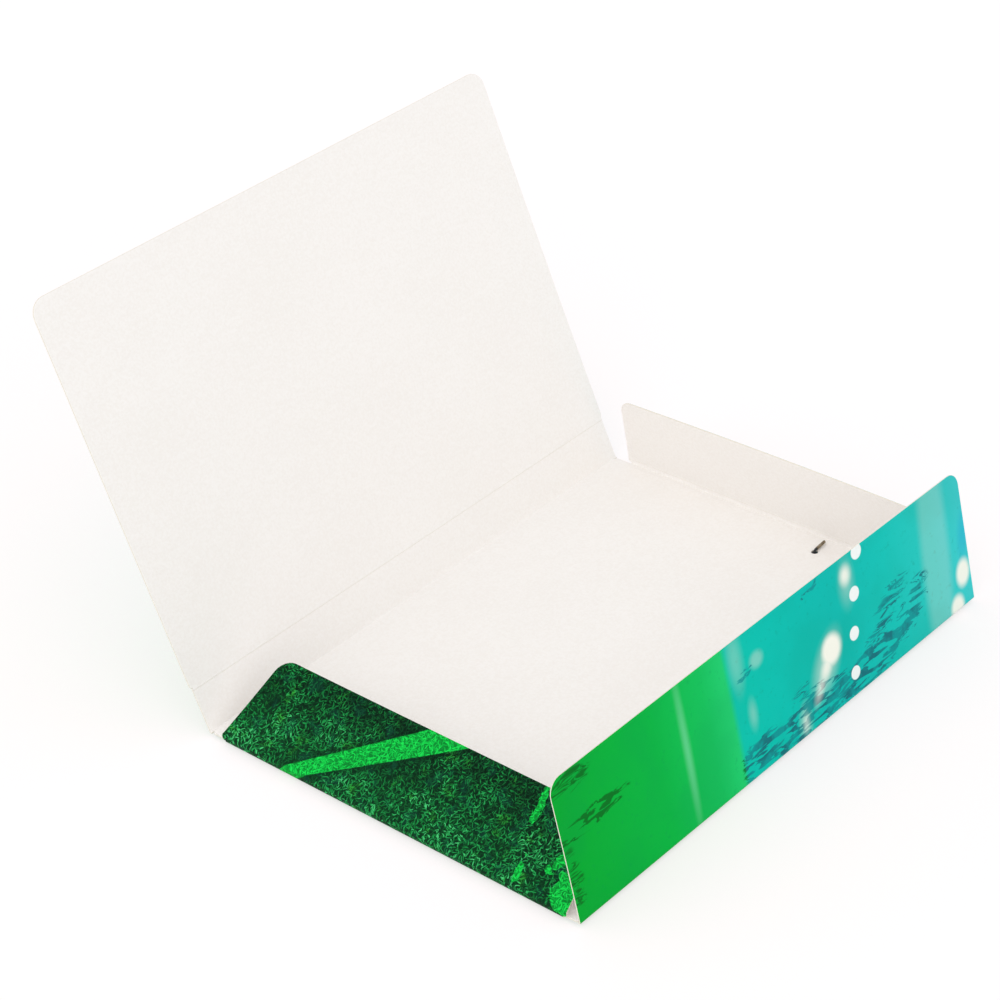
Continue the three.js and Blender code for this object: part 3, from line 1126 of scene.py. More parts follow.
@dataclass
class Board:
    """The sheet that the folder is made of.

    Attributes:
        thickness: Of the laminated board.
        inside: Material of the inner face.
        cut: Material of the cut edge.
        score_half_width: From a scored line to where the board is flat again.
        chamfer: How far a cut edge is pressed round.
        spacing: Size of a mesh's faces.
        bead: Height of the bead that a creasing rule leaves along a scored line.
        crease_steps: Faces across the strip that bends there.
    """

    thickness: float
    inside: Material
    cut: Material
    score_half_width: float = 0.6
    chamfer: float = 0.13
    spacing: float = 7.0
    bead: float = 0.12
    crease_steps: int = 10

    def panel(
        self,
        name: str,
        shape: PanelShape,
        frame: FoldFrame,
        outside: Material,
        warp: Warp,
    ) -> Object:
        """Makes one folded board, with its inner face at z = 0 of its frame.

        Args:
            name: The piece's name.
            shape: The board's outline.
            frame: Where the board stands.
            outside: Material of the outer face.
            warp: How the board bends.

        Returns:
            The board's object.
        """
        columns = max(2, round(shape.length / self.spacing))
        points: list[Vector] = []
        numbers: dict[tuple[int, int, float, float], int] = {}
        heights = {
            inset: shape.row_heights(self.score_half_width, inset, self.spacing)
            for inset in (0.0, self.chamfer)
        }
        last_row = len(heights[0.0]) - 1

        def number(row: int, column: int, inset: float, depth: float) -> int:
            """Makes a corner the first time that it is asked for.

            Args:
                row: Its row, up from the scored line.
                column: Its column.
                inset: How far the outline is drawn in at its level.
                depth: How far its level lies under the inner face.

            Returns:
                The corner's number.
            """
            key = (row, column, inset, depth)
            if key not in numbers:
                height = heights[inset][row]
                half = shape.half_width(height, inset, self.score_half_width)
                across = 2 * column / columns - 1
                bend = warp.at(across, height / shape.height)
                numbers[key] = len(points)
                points.append(Vector((half * across, height, bend - depth)))
            return numbers[key]

        shallow, deep = self.chamfer, self.thickness - self.chamfer
        levels = [(self.chamfer, 0.0), (0.0, shallow), (0.0, deep), (self.chamfer, self.thickness)]
        faces: list[Face] = []
        for row in range(last_row):
            for column in range(columns):
                square = [(row, column), (row, column + 1)]
                square += [(row + 1, column + 1), (row + 1, column)]
                inner = tuple(number(*place, *levels[0]) for place in square)
                outer = tuple(number(*place, *levels[-1]) for place in square[::-1])
                faces += [(inner, Side.INSIDE), (outer, Side.OUTSIDE)]
        rim = [(row, 0) for row in range(last_row + 1)]
        rim += [(last_row, column) for column in range(1, columns + 1)]
        rim += [(row, columns) for row in range(last_row - 1, -1, -1)]
        sides = (Side.CUT_EDGE, Side.CUT_EDGE, Side.OUTSIDE)
        for upper, lower, side in zip(levels, levels[1:], sides, strict=False):
            for here, there in zip(rim, rim[1:], strict=False):
                corners = (
                    number(*here, *upper),
                    number(*there, *upper),
                    number(*there, *lower),
                    number(*here, *lower),
                )
                faces.append((corners, side))
        for column in range(columns):
            corners = (
                number(0, column, *levels[0]),
                number(0, column, *levels[-1]),
                number(0, column + 1, *levels[-1]),
                number(0, column + 1, *levels[0]),
            )
            faces.append((corners, Side.CUT_EDGE))
        faces.append((tuple(number(0, 0, *level) for level in levels), Side.CUT_EDGE))
        faces.append((tuple(number(0, columns, *level) for level in levels[::-1]), Side.CUT_EDGE))
        flat_points = [frame.flat @ point for point in points]
        places = [frame.after @ point for point in points]
        return mesh_piece(name, places, faces, flat_points, (self.inside, outside, self.cut))

    def sheet_with_holes(
        self,
        name: str,
        outline: Sequence[Vector],
        holes: Sequence[Sequence[Vector]],
        frame: FoldFrame,
        outside: Material,
    ) -> Object:
        """Makes a flat board with punched holes.

        Args:
            name: The piece's name.
            outline: The board's corners, counter-clockwise.
            holes: The corners of each hole.
            frame: Where the board lies.
            outside: Material of the outer face.

        Returns:
            The board's object.
        """
        loops = [list(outline), *[list(hole) for hole in holes]]
        plan = [point for loop in loops for point in loop]
        triangles = tessellate_polygon(loops)
        count = len(plan)
        points = plan + [point - Vector((0, 0, self.thickness)) for point in plan]
        faces: list[Face] = []
        for a, b, c in triangles:
            turn = (plan[b] - plan[a]).cross(plan[c] - plan[a]).z
            upper = (a, b, c) if turn > 0 else (a, c, b)
            faces.append((upper, Side.INSIDE))
            faces.append((tuple(count + corner for corner in upper[::-1]), Side.OUTSIDE))
        start = 0
        for loop in loops:
            size = len(loop)
            for index in range(size):
                here, there = start + index, start + (index + 1) % size
                faces.append(((here, count + here, count + there, there), Side.CUT_EDGE))
            start += size
        flat_points = [frame.flat @ point for point in points]
        places = [frame.after @ point for point in points]
        return mesh_piece(name, places, faces, flat_points, (self.inside, outside, self.cut))

    def crease(
        self,
        name: str,
        length: float,
        frame: FoldFrame,
        outside: Material,
        bodies: tuple[str, str],
    ) -> Object:
        """Makes the strip of board that bends at a scored line, between two panels.

        The strip turns about the line where its inner face lies, and a low bead runs
        along it inside.

        Args:
            name: The piece's name.
            length: Of the scored line.
            frame: The frame of the board that the line folds up.
            outside: Material of the outer face.
            bodies: The body before the line and the body after it; not used.

        Returns:
            The strip's object, bent between the two panels.
        """
        steps = self.crease_steps
        reach = self.score_half_width
        angle = math.radians(frame.angle)
        start = Vector((0, -reach, 0))
        end = Vector((0, reach * math.cos(angle), reach * math.sin(angle)))
        way = end - start

        def bent(across: float, depth: float) -> Vector:
            """Bends a place on the flat strip, turning it smoothly from the board before the line
            to the board after it.

            Args:
                across: The place across the scored line.
                depth: How far it lies under the inner face.

            Returns:
                Where it lies in the frame before the line.
            """
            rise = self.bead * math.cos(math.pi / 2 * across / reach) ** 2
            flat = Vector((0, across, rise - depth))
            share = (across + reach) / (2 * reach)
            place = flat
            # Each round halves what is left between the share and the blend's own
            for _ in range(BLEND_ROUNDS):
                place = Matrix.Rotation(angle * share, 3, "X") @ flat
                along = max(0.0, min(1.0, (place - start).dot(way) / way.length_squared))
                share += 0.5 * (along * along * (3 - 2 * along) - share)
            return place

        points: list[Vector] = []
        flat_points: list[Vector] = []
        for side in (-1, 1):
            for depth in (0.0, self.thickness):
                for step in range(steps + 1):
                    across = reach * (2 * step / steps - 1)
                    shift = Vector((side * length / 2, 0, 0))
                    points.append(frame.before @ (bent(across, depth) + shift))
                    flat_points.append(frame.flat @ (Vector((0, across, 0)) + shift))

        def number(side: int, layer: int, step: int) -> int:
            """Returns a corner's number: its end of the strip, its face and its step."""
            return (side * 2 + layer) * (steps + 1) + step

        faces: list[Face] = []
        for step in range(steps):
            for layer, face_side in ((0, Side.INSIDE), (1, Side.OUTSIDE)):
                corners = (
                    number(0, layer, step),
                    number(1, layer, step),
                    number(1, layer, step + 1),
                    number(0, layer, step + 1),
                )
                faces.append((corners if layer == 0 else corners[::-1], face_side))
            for side in (0, 1):
                corners = (
                    number(side, 0, step),
                    number(side, 0, step + 1),
                    number(side, 1, step + 1),
                    number(side, 1, step),
                )
                faces.append((corners if side == 0 else corners[::-1], Side.CUT_EDGE))
        for step in (0, steps):
            corners = tuple(number(*place, step) for place in ((0, 0), (0, 1), (1, 1), (1, 0)))
            faces.append((corners if step == 0 else corners[::-1], Side.CUT_EDGE))
        materials = (self.inside, outside, self.cut)
        strip = mesh_piece(name, points, faces, flat_points, materials, smooth_below=80.0)
        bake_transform(strip)
        return strip


def rounded_rectangle(half_x: float, half_y: float, radius: float) -> list[Vector]:
    """Lays out a rectangle with rounded corners.

    Args:
        half_x: Half its size along x.
        half_y: Half its size along y.
        radius: Of each corner.

    Returns:
        Its corners, counter-clockwise.
    """
    points = []
    for turn, (side_x, side_y) in enumerate(((1, 1), (-1, 1), (-1, -1), (1, -1))):
        centre = Vector((side_x * (half_x - radius), side_y * (half_y - radius), 0))
        for step in range(CORNER_STEPS + 1):
            angle = math.pi / 2 * (turn + step / CORNER_STEPS)
            points.append(centre + radius * Vector((math.cos(angle), math.sin(angle), 0)))
    return points


@dataclass(frozen=True)
class Hole:
    """A punched hole for an elastic.

    Attributes:
        place: The hole's middle, over the base.
        outward: The way in which the barb lies.
    """

    place: Vector
    outward: Vector

    def outline(self, radius: float) -> list[Vector]:
        """Lays out the hole's edge.

        Args:
            radius: Of the hole.

        Returns:
            Its corners, clockwise, as a hole in a counter-clockwise outline runs.
        """
        steps = 32
        angles = [-math.tau * step / steps for step in range(steps)]
        return [self.place + radius * Vector((math.cos(a), math.sin(a), 0)) for a in angles]


@dataclass
class CornerElastic:
    """Elastic across a front corner, under the base, with a barb on each end above it.

    Attributes:
        name: Left or right.
        holes: The two holes that it comes up through.
        board_thickness: Of the base.
    """

    name: str
    holes: tuple[Hole, Hole]
    board_thickness: float
    diameter: float = 1.6
    bend_radius: float = 1.25
    lead: float = 0.3
    gap: float = 0.3
    barb_diameter: float = 1.7
    barb_length: float = 7.4
    # Angle at which a barb's nose stands up from the base
    barb_lift: float = 6.0
    # The sleeve: its strands, one turn of them along it, and how deep it dips between them
    strands: int = 8
    strand_pitch: float = 2.6
    relief: float = 0.09
    # Below 1 it makes the strands' backs broad
    strand_power: float = 0.5
    # Size of the sleeve's faces along it, and their number round it
    sleeve_step: float = 0.22
    sleeve_sides: int = 32

    @property
    def upper(self) -> float:
        """Height of the elastic's middle on the base."""
        return self.board_thickness + self.gap + self.barb_diameter / 2

    @property
    def lower(self) -> float:
        """Height of the elastic's middle under the base."""
        return -(self.gap + self.diameter / 2)

    def bend(self, corner: Vector, before: Vector, after: Vector) -> list[Vector]:
        """Rounds a square bend of the route.

        Args:
            corner: The bend's corner.
            before: The way before it.
            after: The way after it.

        Returns:
            Points round the bend.
        """
        steps = 8
        centre = corner + self.bend_radius * (after - before)
        angles = [math.pi / 2 * step / steps for step in range(steps + 1)]
        spokes = [math.sin(angle) * before - math.cos(angle) * after for angle in angles]
        return [centre + self.bend_radius * spoke for spoke in spokes]

    def route(self) -> list[Vector]:
        """Lays the elastic's middle line.

        Returns:
            Its points, from barb to barb.
        """
        first, second = self.holes
        tops = [hole.place + Vector((0, 0, self.upper)) for hole in self.holes]
        feet = [hole.place + Vector((0, 0, self.lower)) for hole in self.holes]
        across = (feet[1] - feet[0]).normalized()
        down, up = Vector((0, 0, -1)), Vector((0, 0, 1))
        reach = self.bend_radius + self.lead
        return [
            tops[0] + reach * first.outward,
            *self.bend(tops[0], -first.outward, down),
            *self.bend(feet[0], down, across),
            *self.bend(feet[1], across, up),
            *self.bend(tops[1], up, second.outward),
            tops[1] + reach * second.outward,
        ]

    def braid_tree(self) -> NodeTree:
        """Builds the node tree that weaves a braided sleeve along a curve.

        Returns:
            The node tree.
        """
        tree = bpy.data.node_groups.new("braided_sleeve", "GeometryNodeTree")
        face = tree.interface
        face.new_socket("Geometry", in_out="INPUT", socket_type="NodeSocketGeometry")
        for name, kind in (
            ("Radius", "NodeSocketFloat"),
            ("Relief", "NodeSocketFloat"),
            ("Strand Pitch", "NodeSocketFloat"),
            ("Strands", "NodeSocketInt"),
            ("Step", "NodeSocketFloat"),
            ("Material", "NodeSocketMaterial"),
        ):
            face.new_socket(name, in_out="INPUT", socket_type=kind)
        face.new_socket("Geometry", in_out="OUTPUT", socket_type="NodeSocketGeometry")
        given = add_node(tree, "NodeGroupInput").outputs
        spaced = {"Curve": given["Geometry"], "Length": given["Step"]}
        route = add_node(tree, "GeometryNodeResampleCurve", inputs=spaced, mode="LENGTH")
        sized = {"Resolution": self.sleeve_sides, "Radius": given["Radius"]}
        ring = add_node(tree, "GeometryNodeCurvePrimitiveCircle", inputs=sized)
        # Each curve carries along how far a point lies on it
        rails = []
        for curve, name, output in ((route, "along", "Length"), (ring, "round", "Factor")):
            measured = add_node(tree, "GeometryNodeSplineParameter").outputs[output]
            rail = add_node(tree, "GeometryNodeCaptureAttribute", curve)
            rail.capture_items.new("FLOAT", name)
            fill(rail, {name: measured})
            rails.append(rail)
        capped = {"Fill Caps": True}
        tube = add_node(tree, "GeometryNodeCurveToMesh", *rails, inputs=capped)
        # Two sets of strands wind against each other, and a lump stands where they cross
        along, around = rails[0].outputs["along"], rails[1].outputs["round"]
        turn = add_node(tree, Kind.MULTIPLY, around, given["Strands"])
        turn = add_node(tree, Kind.MULTIPLY, turn, math.pi)
        climb = add_node(tree, Kind.DIVIDE, along, given["Strand Pitch"])
        climb = add_node(tree, Kind.MULTIPLY, climb, math.tau)
        right = add_node(tree, Kind.SINE, add_node(tree, Kind.ADD, turn, climb))
        left = add_node(tree, Kind.SINE, add_node(tree, Kind.SUBTRACT, turn, climb))
        lump = add_node(tree, Kind.ABSOLUTE, add_node(tree, Kind.MULTIPLY, right, left))
        lump = add_node(tree, Kind.POWER, lump, self.strand_power)
        kept = {"Geometry": tube, "Name": RELIEF_ATTRIBUTE, "Value": lump}
        stored = add_node(
            tree,
            "GeometryNodeStoreNamedAttribute",
            inputs=kept,
            data_type="FLOAT",
            domain="POINT",
        )
        dip = add_node(tree, Kind.SUBTRACT, lump, 1.0)
        dip = add_node(tree, Kind.MULTIPLY, dip, given["Relief"])
        normal = add_node(tree, "GeometryNodeInputNormal")
        offset = add_node(tree, "ShaderNodeVectorMath", normal, dip, operation="SCALE")
        moved = {"Geometry": stored, "Offset": offset}
        woven = add_node(tree, "GeometryNodeSetPosition", inputs=moved)
        real = add_node(tree, "GeometryNodeRealizeInstances", woven)
        given_look = {"Material": given["Material"]}
        dressed = add_node(tree, "GeometryNodeSetMaterial", real, inputs=given_look)
        add_node(tree, "NodeGroupOutput", dressed)
        return tree

    def build_elastic(self, sleeve: Material) -> Object:
        """Makes the braided elastic along its route.

        Args:
            sleeve: The elastic's material.

        Returns:
            The elastic's object.
        """
        curve = bpy.data.curves.new(f"{self.name}_elastic_route", "CURVE")
        curve.dimensions = "3D"
        spline = curve.splines.new("POLY")
        route = self.route()
        spline.points.add(len(route) - 1)
        for point, place in zip(spline.points, route, strict=True):
            point.co = (*(place * MM), 1.0)
        path = add_object(f"{self.name}_elastic_route", curve)
        modifier = path.modifiers.new("sleeve", "NODES")
        tree = self.braid_tree()
        modifier.node_group = tree
        values = {
            "Radius": self.diameter / 2 * MM,
            "Relief": self.relief * MM,
            "Strand Pitch": self.strand_pitch * MM,
            "Strands": self.strands,
            "Step": self.sleeve_step * MM,
            "Material": sleeve,
        }
        for item in tree.interface.items_tree:
            if item.in_out == "INPUT" and item.name in values:
                modifier[item.identifier] = values[item.name]
        bpy.context.view_layer.update()
        evaluated = path.evaluated_get(bpy.context.evaluated_depsgraph_get())
        mesh = bpy.data.meshes.new_from_object(evaluated)
        mesh.name = f"{self.name}_corner_elastic"
        mesh.polygons.foreach_set("use_smooth", [True] * len(mesh.polygons))
        bpy.data.objects.remove(path)
        return add_object(mesh.name, mesh)

    def build_barb(self, name: str, hole: Hole, metal: Material) -> Object:
        """Makes one barb: a strip rolled round the elastic's end and crimped at two places.

        Args:
            name: The piece's name.
            hole: The hole that the barb lies beside.
            metal: The barb's material.

        Returns:
            The barb's object.
        """
        rings, sides = 40, 40
        radius = self.barb_diameter / 2
        # The strip's thickness, how deep the open end is, and the rounding of the nose
        wall, bore_depth, nose = 0.22, 0.25, 0.55
        # A crimp's width, its depth as a share of the height, and how much of that spreads it
        crimp_width, crimp_depth, crimp_spread = 0.9, 0.2, 0.25
        crimps = (self.barb_length / 3, 2 * self.barb_length / 3)
        # The seam's place round the barb, its width and its depth
        seam_place, seam_width, seam_depth = math.radians(62), math.radians(11), 0.13
        start = hole.place + Vector((0, 0, self.upper))
        start += (self.bend_radius + self.lead + self.gap) * hole.outward
        side_way = Vector((0, 0, 1)).cross(hole.outward)
        lift = math.radians(self.barb_lift)
        way = math.cos(lift) * hole.outward + math.sin(lift) * Vector((0, 0, 1))
        up = way.cross(side_way)

        def section(along: float, angle: float) -> Vector:
            """Shapes the barb's outside: its round nose, crimps and seam.

            Args:
                along: Distance from its open end.
                angle: The way round it.

            Returns:
                The place there, from the barb's middle line.
            """
            size = radius
            left = self.barb_length - along
            if left < nose:
                size -= nose * (1 - math.sqrt(max(1 - (1 - left / nose) ** 2, 0.0)))
            pinch = sum(math.exp(-(((along - place) / crimp_width * 2) ** 2)) for place in crimps)
            seam = math.exp(-(((angle - seam_place) / seam_width) ** 2))
            size -= seam * seam_depth * min(1.0, left / nose)
            squeeze = 1 - crimp_depth * pinch
            spread = 1 + crimp_spread * crimp_depth * pinch
            wide = min(size * math.cos(angle) * spread, radius)
            return side_way * wide + up * (size * math.sin(angle) * squeeze)

        mesh = bmesh.new()
        angles = [math.tau * side / sides - math.pi / 2 for side in range(sides)]
        loops = []
        heights = [self.barb_length * ring / rings for ring in range(rings)]
        # Closer rings round the nose
        heights += [self.barb_length - left for left in (nose * 0.6, nose * 0.3, 0.02)]
        for along in sorted(heights):
            places = [start + along * way + section(along, angle) for angle in angles]
            loops.append([mesh.verts.new(place * MM) for place in places])
        spokes = [side_way * math.cos(angle) + up * math.sin(angle) for angle in angles]
        bore = []
        for depth in (0.0, bore_depth):
            places = [start + depth * way + (radius - wall) * spoke for spoke in spokes]
            bore.append([mesh.verts.new(place * MM) for place in places])
        chain = [bore[1], bore[0], *loops]
        for lower, upper in zip(chain, chain[1:], strict=False):
            for side in range(sides):
                after = (side + 1) % sides
                mesh.faces.new((lower[side], lower[after], upper[after], upper[side]))
        mesh.faces.new(loops[-1])
        mesh.faces.new(bore[1][::-1])
        bmesh.ops.recalc_face_normals(mesh, faces=mesh.faces)
        data = bpy.data.meshes.new(name)
        mesh.to_mesh(data)
        mesh.free()
        data.materials.append(metal)
        data.polygons.foreach_set("use_smooth", [True] * len(data.polygons))
        data.set_sharp_from_angle(angle=math.radians(50))
        return add_object(name, data)

    def build(self, sleeve: Material, metal: Material, body: str) -> None:
        """Makes the elastic and its two barbs, which ride on the base.

        Args:
            sleeve: The elastic's material.
            metal: The barbs' material.
            body: The body that they all ride on.
        """
        elastic = self.build_elastic(sleeve)
        place_piece(elastic, body, "elastic", f"{self.name}_elastic")
        for hole, end in zip(self.holes, ("side", "front"), strict=True):
            barb = self.build_barb(f"{self.name}_{end}_crimp", hole, metal)
            place_piece(barb, body, "barb", f"{self.name}_{end}_barb")


def place_piece(piece: Object, body: str, slot: str, *nodes: str) -> None:
    """Lets a finished piece ride on its body and stand for its nodes.

    Args:
        piece: The finished piece.
        body: The body that it rides on.
        slot: The record's slot that its finish belongs to; not used.
        *nodes: The nodes that it stands for.
    """
    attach(piece, body)
    if nodes:
        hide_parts(*nodes)
    log.info("%s rides on %s", piece.name, body)


@dataclass
class Folder:
    """The whole folder: its board, and the elastics at its front corners.

    Attributes:
        joints: The model's joints by name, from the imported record.
    """

    joints: dict[str, dict]
    base_corner_radius: float = 2.0
    cover_overhang: float = 1.0
    cover_depth: float = 210.0
    cover_corner_radius: float = 9.0
    side_flap_height: float = 48.0
    side_flap_taper: float = 7.0
    side_flap_corner_radius: float = 8.0
    side_flap_front_inset: float = 6.5
    side_flap_rear_inset: float = 9.5
    wall_foot_radius: float = 2.0
    front_flap_height: float = 74.0
    front_flap_end_trim: float = 0.4
    front_flap_corner_radius: float = 8.0
    hole_radius: float = 1.9
    hole_inset: float = 14.0
    hole_reach: float = 91.0
    # Corners at a scored line that have hardly any rounding
    scored_corner_radius: float = 0.2
    cover_warp: Warp = Warp(curl=1.2, bow=0.5, twist=1.2)
    left_flap_warp: Warp = Warp(curl=-1.4, bow=0.6)
    right_flap_warp: Warp = Warp(curl=0.6, bow=-1.0)
    front_flap_warp: Warp = Warp(curl=0.6, bow=0.7, twist=0.5)
    # Which edge of the base each board stands on, in degrees from +y
    headings: dict[str, float] = field(
        default_factory=lambda: {"spine": 0.0, "left": 90.0, "right": -90.0, "front": 180.0}
    )

    def hinge(self, joint: str) -> Vector:
        """Returns a point of a joint's axis, in millimetres."""
        return Vector(self.joints[joint]["pos_m"]) / MM

    def rest_fold(self, joint: str) -> float:
        """Returns how far a joint's board is folded up at rest, in degrees.

        Each joint's lower limit lays its board flat, in line with the one before it.
        """
        return -self.joints[joint]["range_deg"][0]

    @property
    def thickness(self) -> float:
        """Thickness of the board: the scored lines lie on its inner face."""
        return self.hinge("spine_fold").z

    @property
    def half_length(self) -> float:
        """Half the base's length, along the spine."""
        return self.hinge("right_wall_fold").x

    @property
    def half_depth(self) -> float:
        """Half the base's depth, from front flap to spine."""
        return self.hinge("spine_fold").y

    def corner_holes(self, side: int) -> tuple[Hole, Hole]:
        """Places the two holes of a front corner.

        Args:
            side: -1 at the left and 1 at the right.

        Returns:
            The hole near the side flap and the hole near the front flap.
        """
        near, far = self.hole_inset, self.hole_reach
        beside = Vector((side * (self.half_length - near), far - self.half_depth, 0))
        before = Vector((side * (self.half_length - far), near - self.half_depth, 0))
        return Hole(beside, Vector((side, 0, 0))), Hole(before, Vector((0, -1, 0)))

    def build_rear(self, board: Board, root: FoldFrame, wash: Material) -> None:
        """Makes the spine, the front cover and their two scored lines.

        Args:
            board: The sheet that they are made of.
            root: The base's frame.
            wash: Material of their outer face.
        """
        spine_height = (self.hinge("cover_fold") - self.hinge("spine_fold")).length
        spine = root.fold(self.half_depth, self.headings["spine"], self.rest_fold("spine_fold"))
        cover = spine.fold(spine_height, 0.0, self.rest_fold("cover_fold"))
        reach = board.score_half_width
        spine_shape = PanelShape(
            2 * self.half_length,
            spine_height - reach,
            free_radius=self.scored_corner_radius,
        )
        panel = board.panel("spine_board", spine_shape, spine, wash, Warp())
        place_piece(panel, "spine", "board", "spine_panel")
        cover_shape = PanelShape(
            2 * (self.half_length + self.cover_overhang),
            self.cover_depth,
            free_radius=self.cover_corner_radius,
            foot_radius=self.cover_overhang + 1.0,
        )
        panel = board.panel("cover_board", cover_shape, cover, wash, self.cover_warp)
        place_piece(panel, "cover", "board", "front_cover")
        length = 2 * self.half_length
        board.crease("spine_crease", length, spine, wash, ("base", "spine"))
        board.crease("cover_crease", length, cover, wash, ("spine", "cover"))

    def build_side(
        self,
        board: Board,
        root: FoldFrame,
        name: str,
        outside: Material,
        slot: str,
        warp: Warp,
    ) -> None:
        """Makes one side's low wall and flap, and their two scored lines.

        Args:
            board: The sheet that they are made of.
            root: The base's frame.
            name: Left or right.
            outside: Material of the outer face.
            slot: The record's slot that the finish belongs to.
            warp: How the flap bends.
        """
        wall_joint, flap_joint = f"{name}_wall_fold", f"{name}_flap_fold"
        wall_height = self.hinge(flap_joint).z - self.hinge(wall_joint).z
        wall = root.fold(self.half_length, self.headings[name], self.rest_fold(wall_joint))
        flap = wall.fold(wall_height, 0.0, self.rest_fold(flap_joint))
        length = 2 * self.half_depth - self.side_flap_front_inset - self.side_flap_rear_inset
        offset = (self.side_flap_rear_inset - self.side_flap_front_inset) / 2
        if self.headings[name] > 0:
            offset = -offset
        wall, flap = wall.shifted(offset), flap.shifted(offset)
        reach = board.score_half_width
        wall_shape = PanelShape(
            length,
            wall_height - reach,
            free_radius=self.scored_corner_radius,
            foot_radius=self.wall_foot_radius - reach,
        )
        panel = board.panel(f"{name}_wall_board", wall_shape, wall, outside, Warp())
        place_piece(panel, f"{name}_wall", slot, f"{name}_wall")
        flap_shape = PanelShape(
            length,
            self.side_flap_height,
            self.side_flap_taper,
            self.side_flap_corner_radius,
        )
        panel = board.panel(f"{name}_flap_board", flap_shape, flap, outside, warp)
        place_piece(panel, f"{name}_flap", slot, f"{name}_flap")
        bodies = ("base", f"{name}_wall")
        foot_length = length - 2 * self.wall_foot_radius
        foot = board.crease(f"{name}_wall_crease", foot_length, wall, outside, bodies)
        bodies = (f"{name}_wall", f"{name}_flap")
        board.crease(f"{name}_flap_crease", length, flap, outside, bodies)

    def build_front(self, board: Board, root: FoldFrame, wash: Material) -> None:
        """Makes the tall front flap and its scored line.

        Args:
            board: The sheet that it is made of.
            root: The base's frame.
            wash: Material of its outer face.
        """
        flap = root.fold(self.half_depth, self.headings["front"], self.rest_fold("front_flap_fold"))
        length = 2 * (self.half_length - self.front_flap_end_trim)
        radius = self.front_flap_corner_radius
        shape = PanelShape(length, self.front_flap_height, free_radius=radius)
        panel = board.panel("front_flap_board", shape, flap, wash, self.front_flap_warp)
        place_piece(panel, "front_flap", "teal_print", "front_flap")
        crease = board.crease("front_flap_crease", length, flap, wash, ("base", "front_flap"))

    def build(self) -> None:
        """Makes every piece of the folder."""
        wash = WashPrint().build()
        turf = TurfPrint().build()
        board = Board(self.thickness, BareBoard().build(), CutBoard().build())
        root = FoldFrame.root(self.thickness)
        corners = {"left": self.corner_holes(-1), "right": self.corner_holes(1)}
        reach = board.score_half_width
        outline = rounded_rectangle(
            self.half_length - reach,
            self.half_depth - reach,
            self.base_corner_radius,
        )
        holes = [hole.outline(self.hole_radius) for pair in corners.values() for hole in pair]
        base = board.sheet_with_holes("base_board", outline, holes, root, wash)
        place_piece(base, "base", "board", "base_panel")
        self.build_rear(board, root, wash)
        self.build_side(board, root, "left", turf, "green_print", self.left_flap_warp)
        self.build_side(board, root, "right", wash, "board", self.right_flap_warp)
        self.build_front(board, root, wash)
        sleeve, metal = BraidedElastic().build(), CrimpedBrass().build()
        for name, pair in corners.items():
            CornerElastic(name, pair, self.thickness).build(sleeve, metal, "base")


@dataclass(frozen=True)
class Lamp:
    """A distant lamp.

    Attributes:
        name: Its name.
        travel: The way that its light travels.
        strength: How much light it sheds.
        width: How wide it looks from the folder, in degrees.
    """

    name: str
    travel: tuple[float, float, float]
    strength: float
    width: float


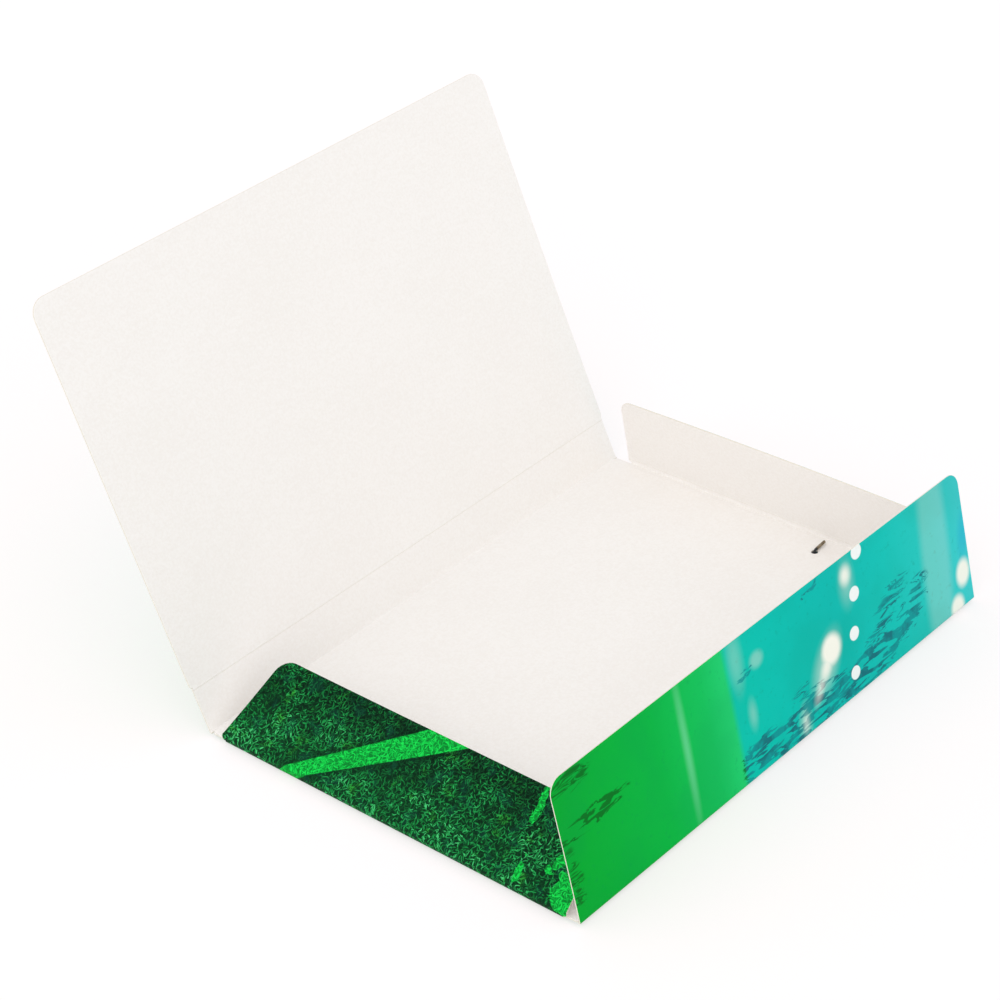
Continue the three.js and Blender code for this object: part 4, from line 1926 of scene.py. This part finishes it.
@dataclass
class Studio:
    """Camera, soft light and a white floor.

    Attributes:
        camera_place: The camera, in millimetres, in the model's frame.
        aim: A point in the middle of the picture.
        roll: How far the camera's right side is turned up, in degrees.
        lens: Focal length on a sensor 36 mm wide.
    """

    camera_place: tuple[float, float, float] = (-873.21, -773.42, 839.63)
    aim: tuple[float, float, float] = (-16.18, 45.31, 91.03)
    roll: float = -4.549
    lens: float = 101.25
    floor_size: float = 12000.0
    sky_light: float = 0.84
    lamps: tuple[Lamp, ...] = (
        Lamp("key_lamp", (0.5, 0.6, -0.5), 0.66, 70.0),
        Lamp("fill_lamp", (0.75, -0.35, -0.55), 0.62, 90.0),
    )
    # The floor lights the folder as white paper would, but a lifted grey stands in for it in
    # the picture, where it shows the shadow and hardly any of the print's colour
    floor_colour: str = "#F2F2F2"
    floor_seen_colour: str = "#ABA3A4"
    floor_lift: float = 0.62
    floor_roughness: float = 0.9
    # Half the base's length and depth, and where the lift fades in, past the base's edge
    footprint: Pair = (160.0, 120.0)
    lift_edge: Pair = (-9.0, -3.0)

    def build_camera(self) -> None:
        """Makes the camera at the photographed angle."""
        data = bpy.data.cameras.new("camera")
        data.lens = self.lens
        data.sensor_width = 36.0
        data.clip_end = 50.0
        camera = add_object("camera", data)
        place, aim = Vector(self.camera_place) * MM, Vector(self.aim) * MM
        ahead = (aim - place).normalized()
        level = ahead.cross(Vector((0, 0, 1))).normalized()
        upright = level.cross(ahead)
        angle = math.radians(self.roll)
        right = level * math.cos(angle) + upright * math.sin(angle)
        up = upright * math.cos(angle) - level * math.sin(angle)
        turn = Matrix((right, up, -ahead)).transposed()
        camera.matrix_world = Matrix.Translation(place) @ turn.to_4x4()
        bpy.context.scene.camera = camera

    def seen_ray(self, tree: NodeTree) -> Node:
        """Tells the rays that a viewer sees from those that only carry light.

        Args:
            tree: The node tree that gets the nodes.

        Returns:
            1 for a ray from the camera, or one that gloss or glass sends on.
        """
        path = add_node(tree, "ShaderNodeLightPath").outputs
        rays = (path["Is Glossy Ray"], path["Is Transmission Ray"])
        shiny = add_node(tree, Kind.MAXIMUM, *rays)
        return add_node(tree, Kind.MAXIMUM, path["Is Camera Ray"], shiny)

    def beside_folder(self, tree: NodeTree) -> Node:
        """Tells the floor beside the folder from that under it, which its holes show.

        Args:
            tree: The floor's node tree.

        Returns:
            0 on the floor under the base, and 1 beside it.
        """
        place = add_node(tree, Kind.COORDINATES).outputs["Object"]
        axes = add_node(tree, Kind.SPLIT_PLACE, place).outputs
        over = []
        for axis, half in zip(("X", "Y"), self.footprint, strict=True):
            away = add_node(tree, Kind.ABSOLUTE, axes[axis])
            over.append(add_node(tree, Kind.SUBTRACT, away, half * MM))
        past = add_node(tree, Kind.MAXIMUM, *over)
        return add_node(tree, Kind.SMOOTH_STEP, past, *(edge * MM for edge in self.lift_edge))

    def build_world(self) -> None:
        """Makes an even white sky that is pure white to the camera."""
        world = bpy.data.worlds.new("white_sky")
        world.use_nodes = True
        tree = world.node_tree
        seen = self.seen_ray(tree)
        more = 1.0 - self.sky_light
        strength = add_node(tree, Kind.MULTIPLY_ADD, seen, more, self.sky_light)
        fill(tree.nodes["Background"], {"Color": WHITE, "Strength": strength})
        bpy.context.scene.world = world

    def build_lamps(self) -> None:
        """Makes the broad, soft lamps."""
        for lamp in self.lamps:
            data = bpy.data.lights.new(lamp.name, "SUN")
            data.energy = lamp.strength
            data.angle = math.radians(lamp.width)
            turn = Vector(lamp.travel).to_track_quat("-Z", "Y").to_euler()
            add_object(lamp.name, data).rotation_euler = turn

    def build_floor(self, height: float) -> None:
        """Makes the floor: white, with the object's soft shadow.

        Args:
            height: Height of the floor, in metres.
        """
        half = self.floor_size / 2 * MM
        square = ((-half, -half), (half, -half), (half, half), (-half, half))
        mesh = bpy.data.meshes.new("floor")
        mesh.from_pydata([(*corner, height) for corner in square], [], [(0, 1, 2, 3)])
        floor = add_object("floor", mesh)
        material, tree, shader = new_material("white_floor")
        seen = self.seen_ray(tree)
        colours = (linear(self.floor_colour), linear(self.floor_seen_colour))
        lift = add_node(tree, Kind.MULTIPLY, seen, self.floor_lift)
        lift = add_node(tree, Kind.MULTIPLY, lift, self.beside_folder(tree))
        finish = {
            "Base Color": add_node(tree, Kind.MIX, seen, *colours),
            "Roughness": self.floor_roughness,
            "Specular IOR Level": 0.0,
            "Emission Color": WHITE,
            "Emission Strength": lift,
        }
        fill(shader, finish)
        mesh.materials.append(material)
        floor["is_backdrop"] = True

    def build(self, floor_height: float) -> None:
        """Makes the whole studio.

        Args:
            floor_height: Height of the floor, in metres.
        """
        self.build_camera()
        self.build_world()
        self.build_lamps()
        self.build_floor(floor_height)
        bpy.context.scene.view_settings.view_transform = "Standard"


def main() -> None:
    """Dresses the folder and sets the scene around it."""
    logging.basicConfig(level=logging.INFO, format="%(message)s")
    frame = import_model()
    cad_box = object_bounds()
    joints = {joint["name"]: joint for joint in frame["record"]["behaviour"]["joints"]}
    Folder(joints).build()
    Studio().build(floor_height=cad_box[0][2])


if __name__ == "__main__":
    main()
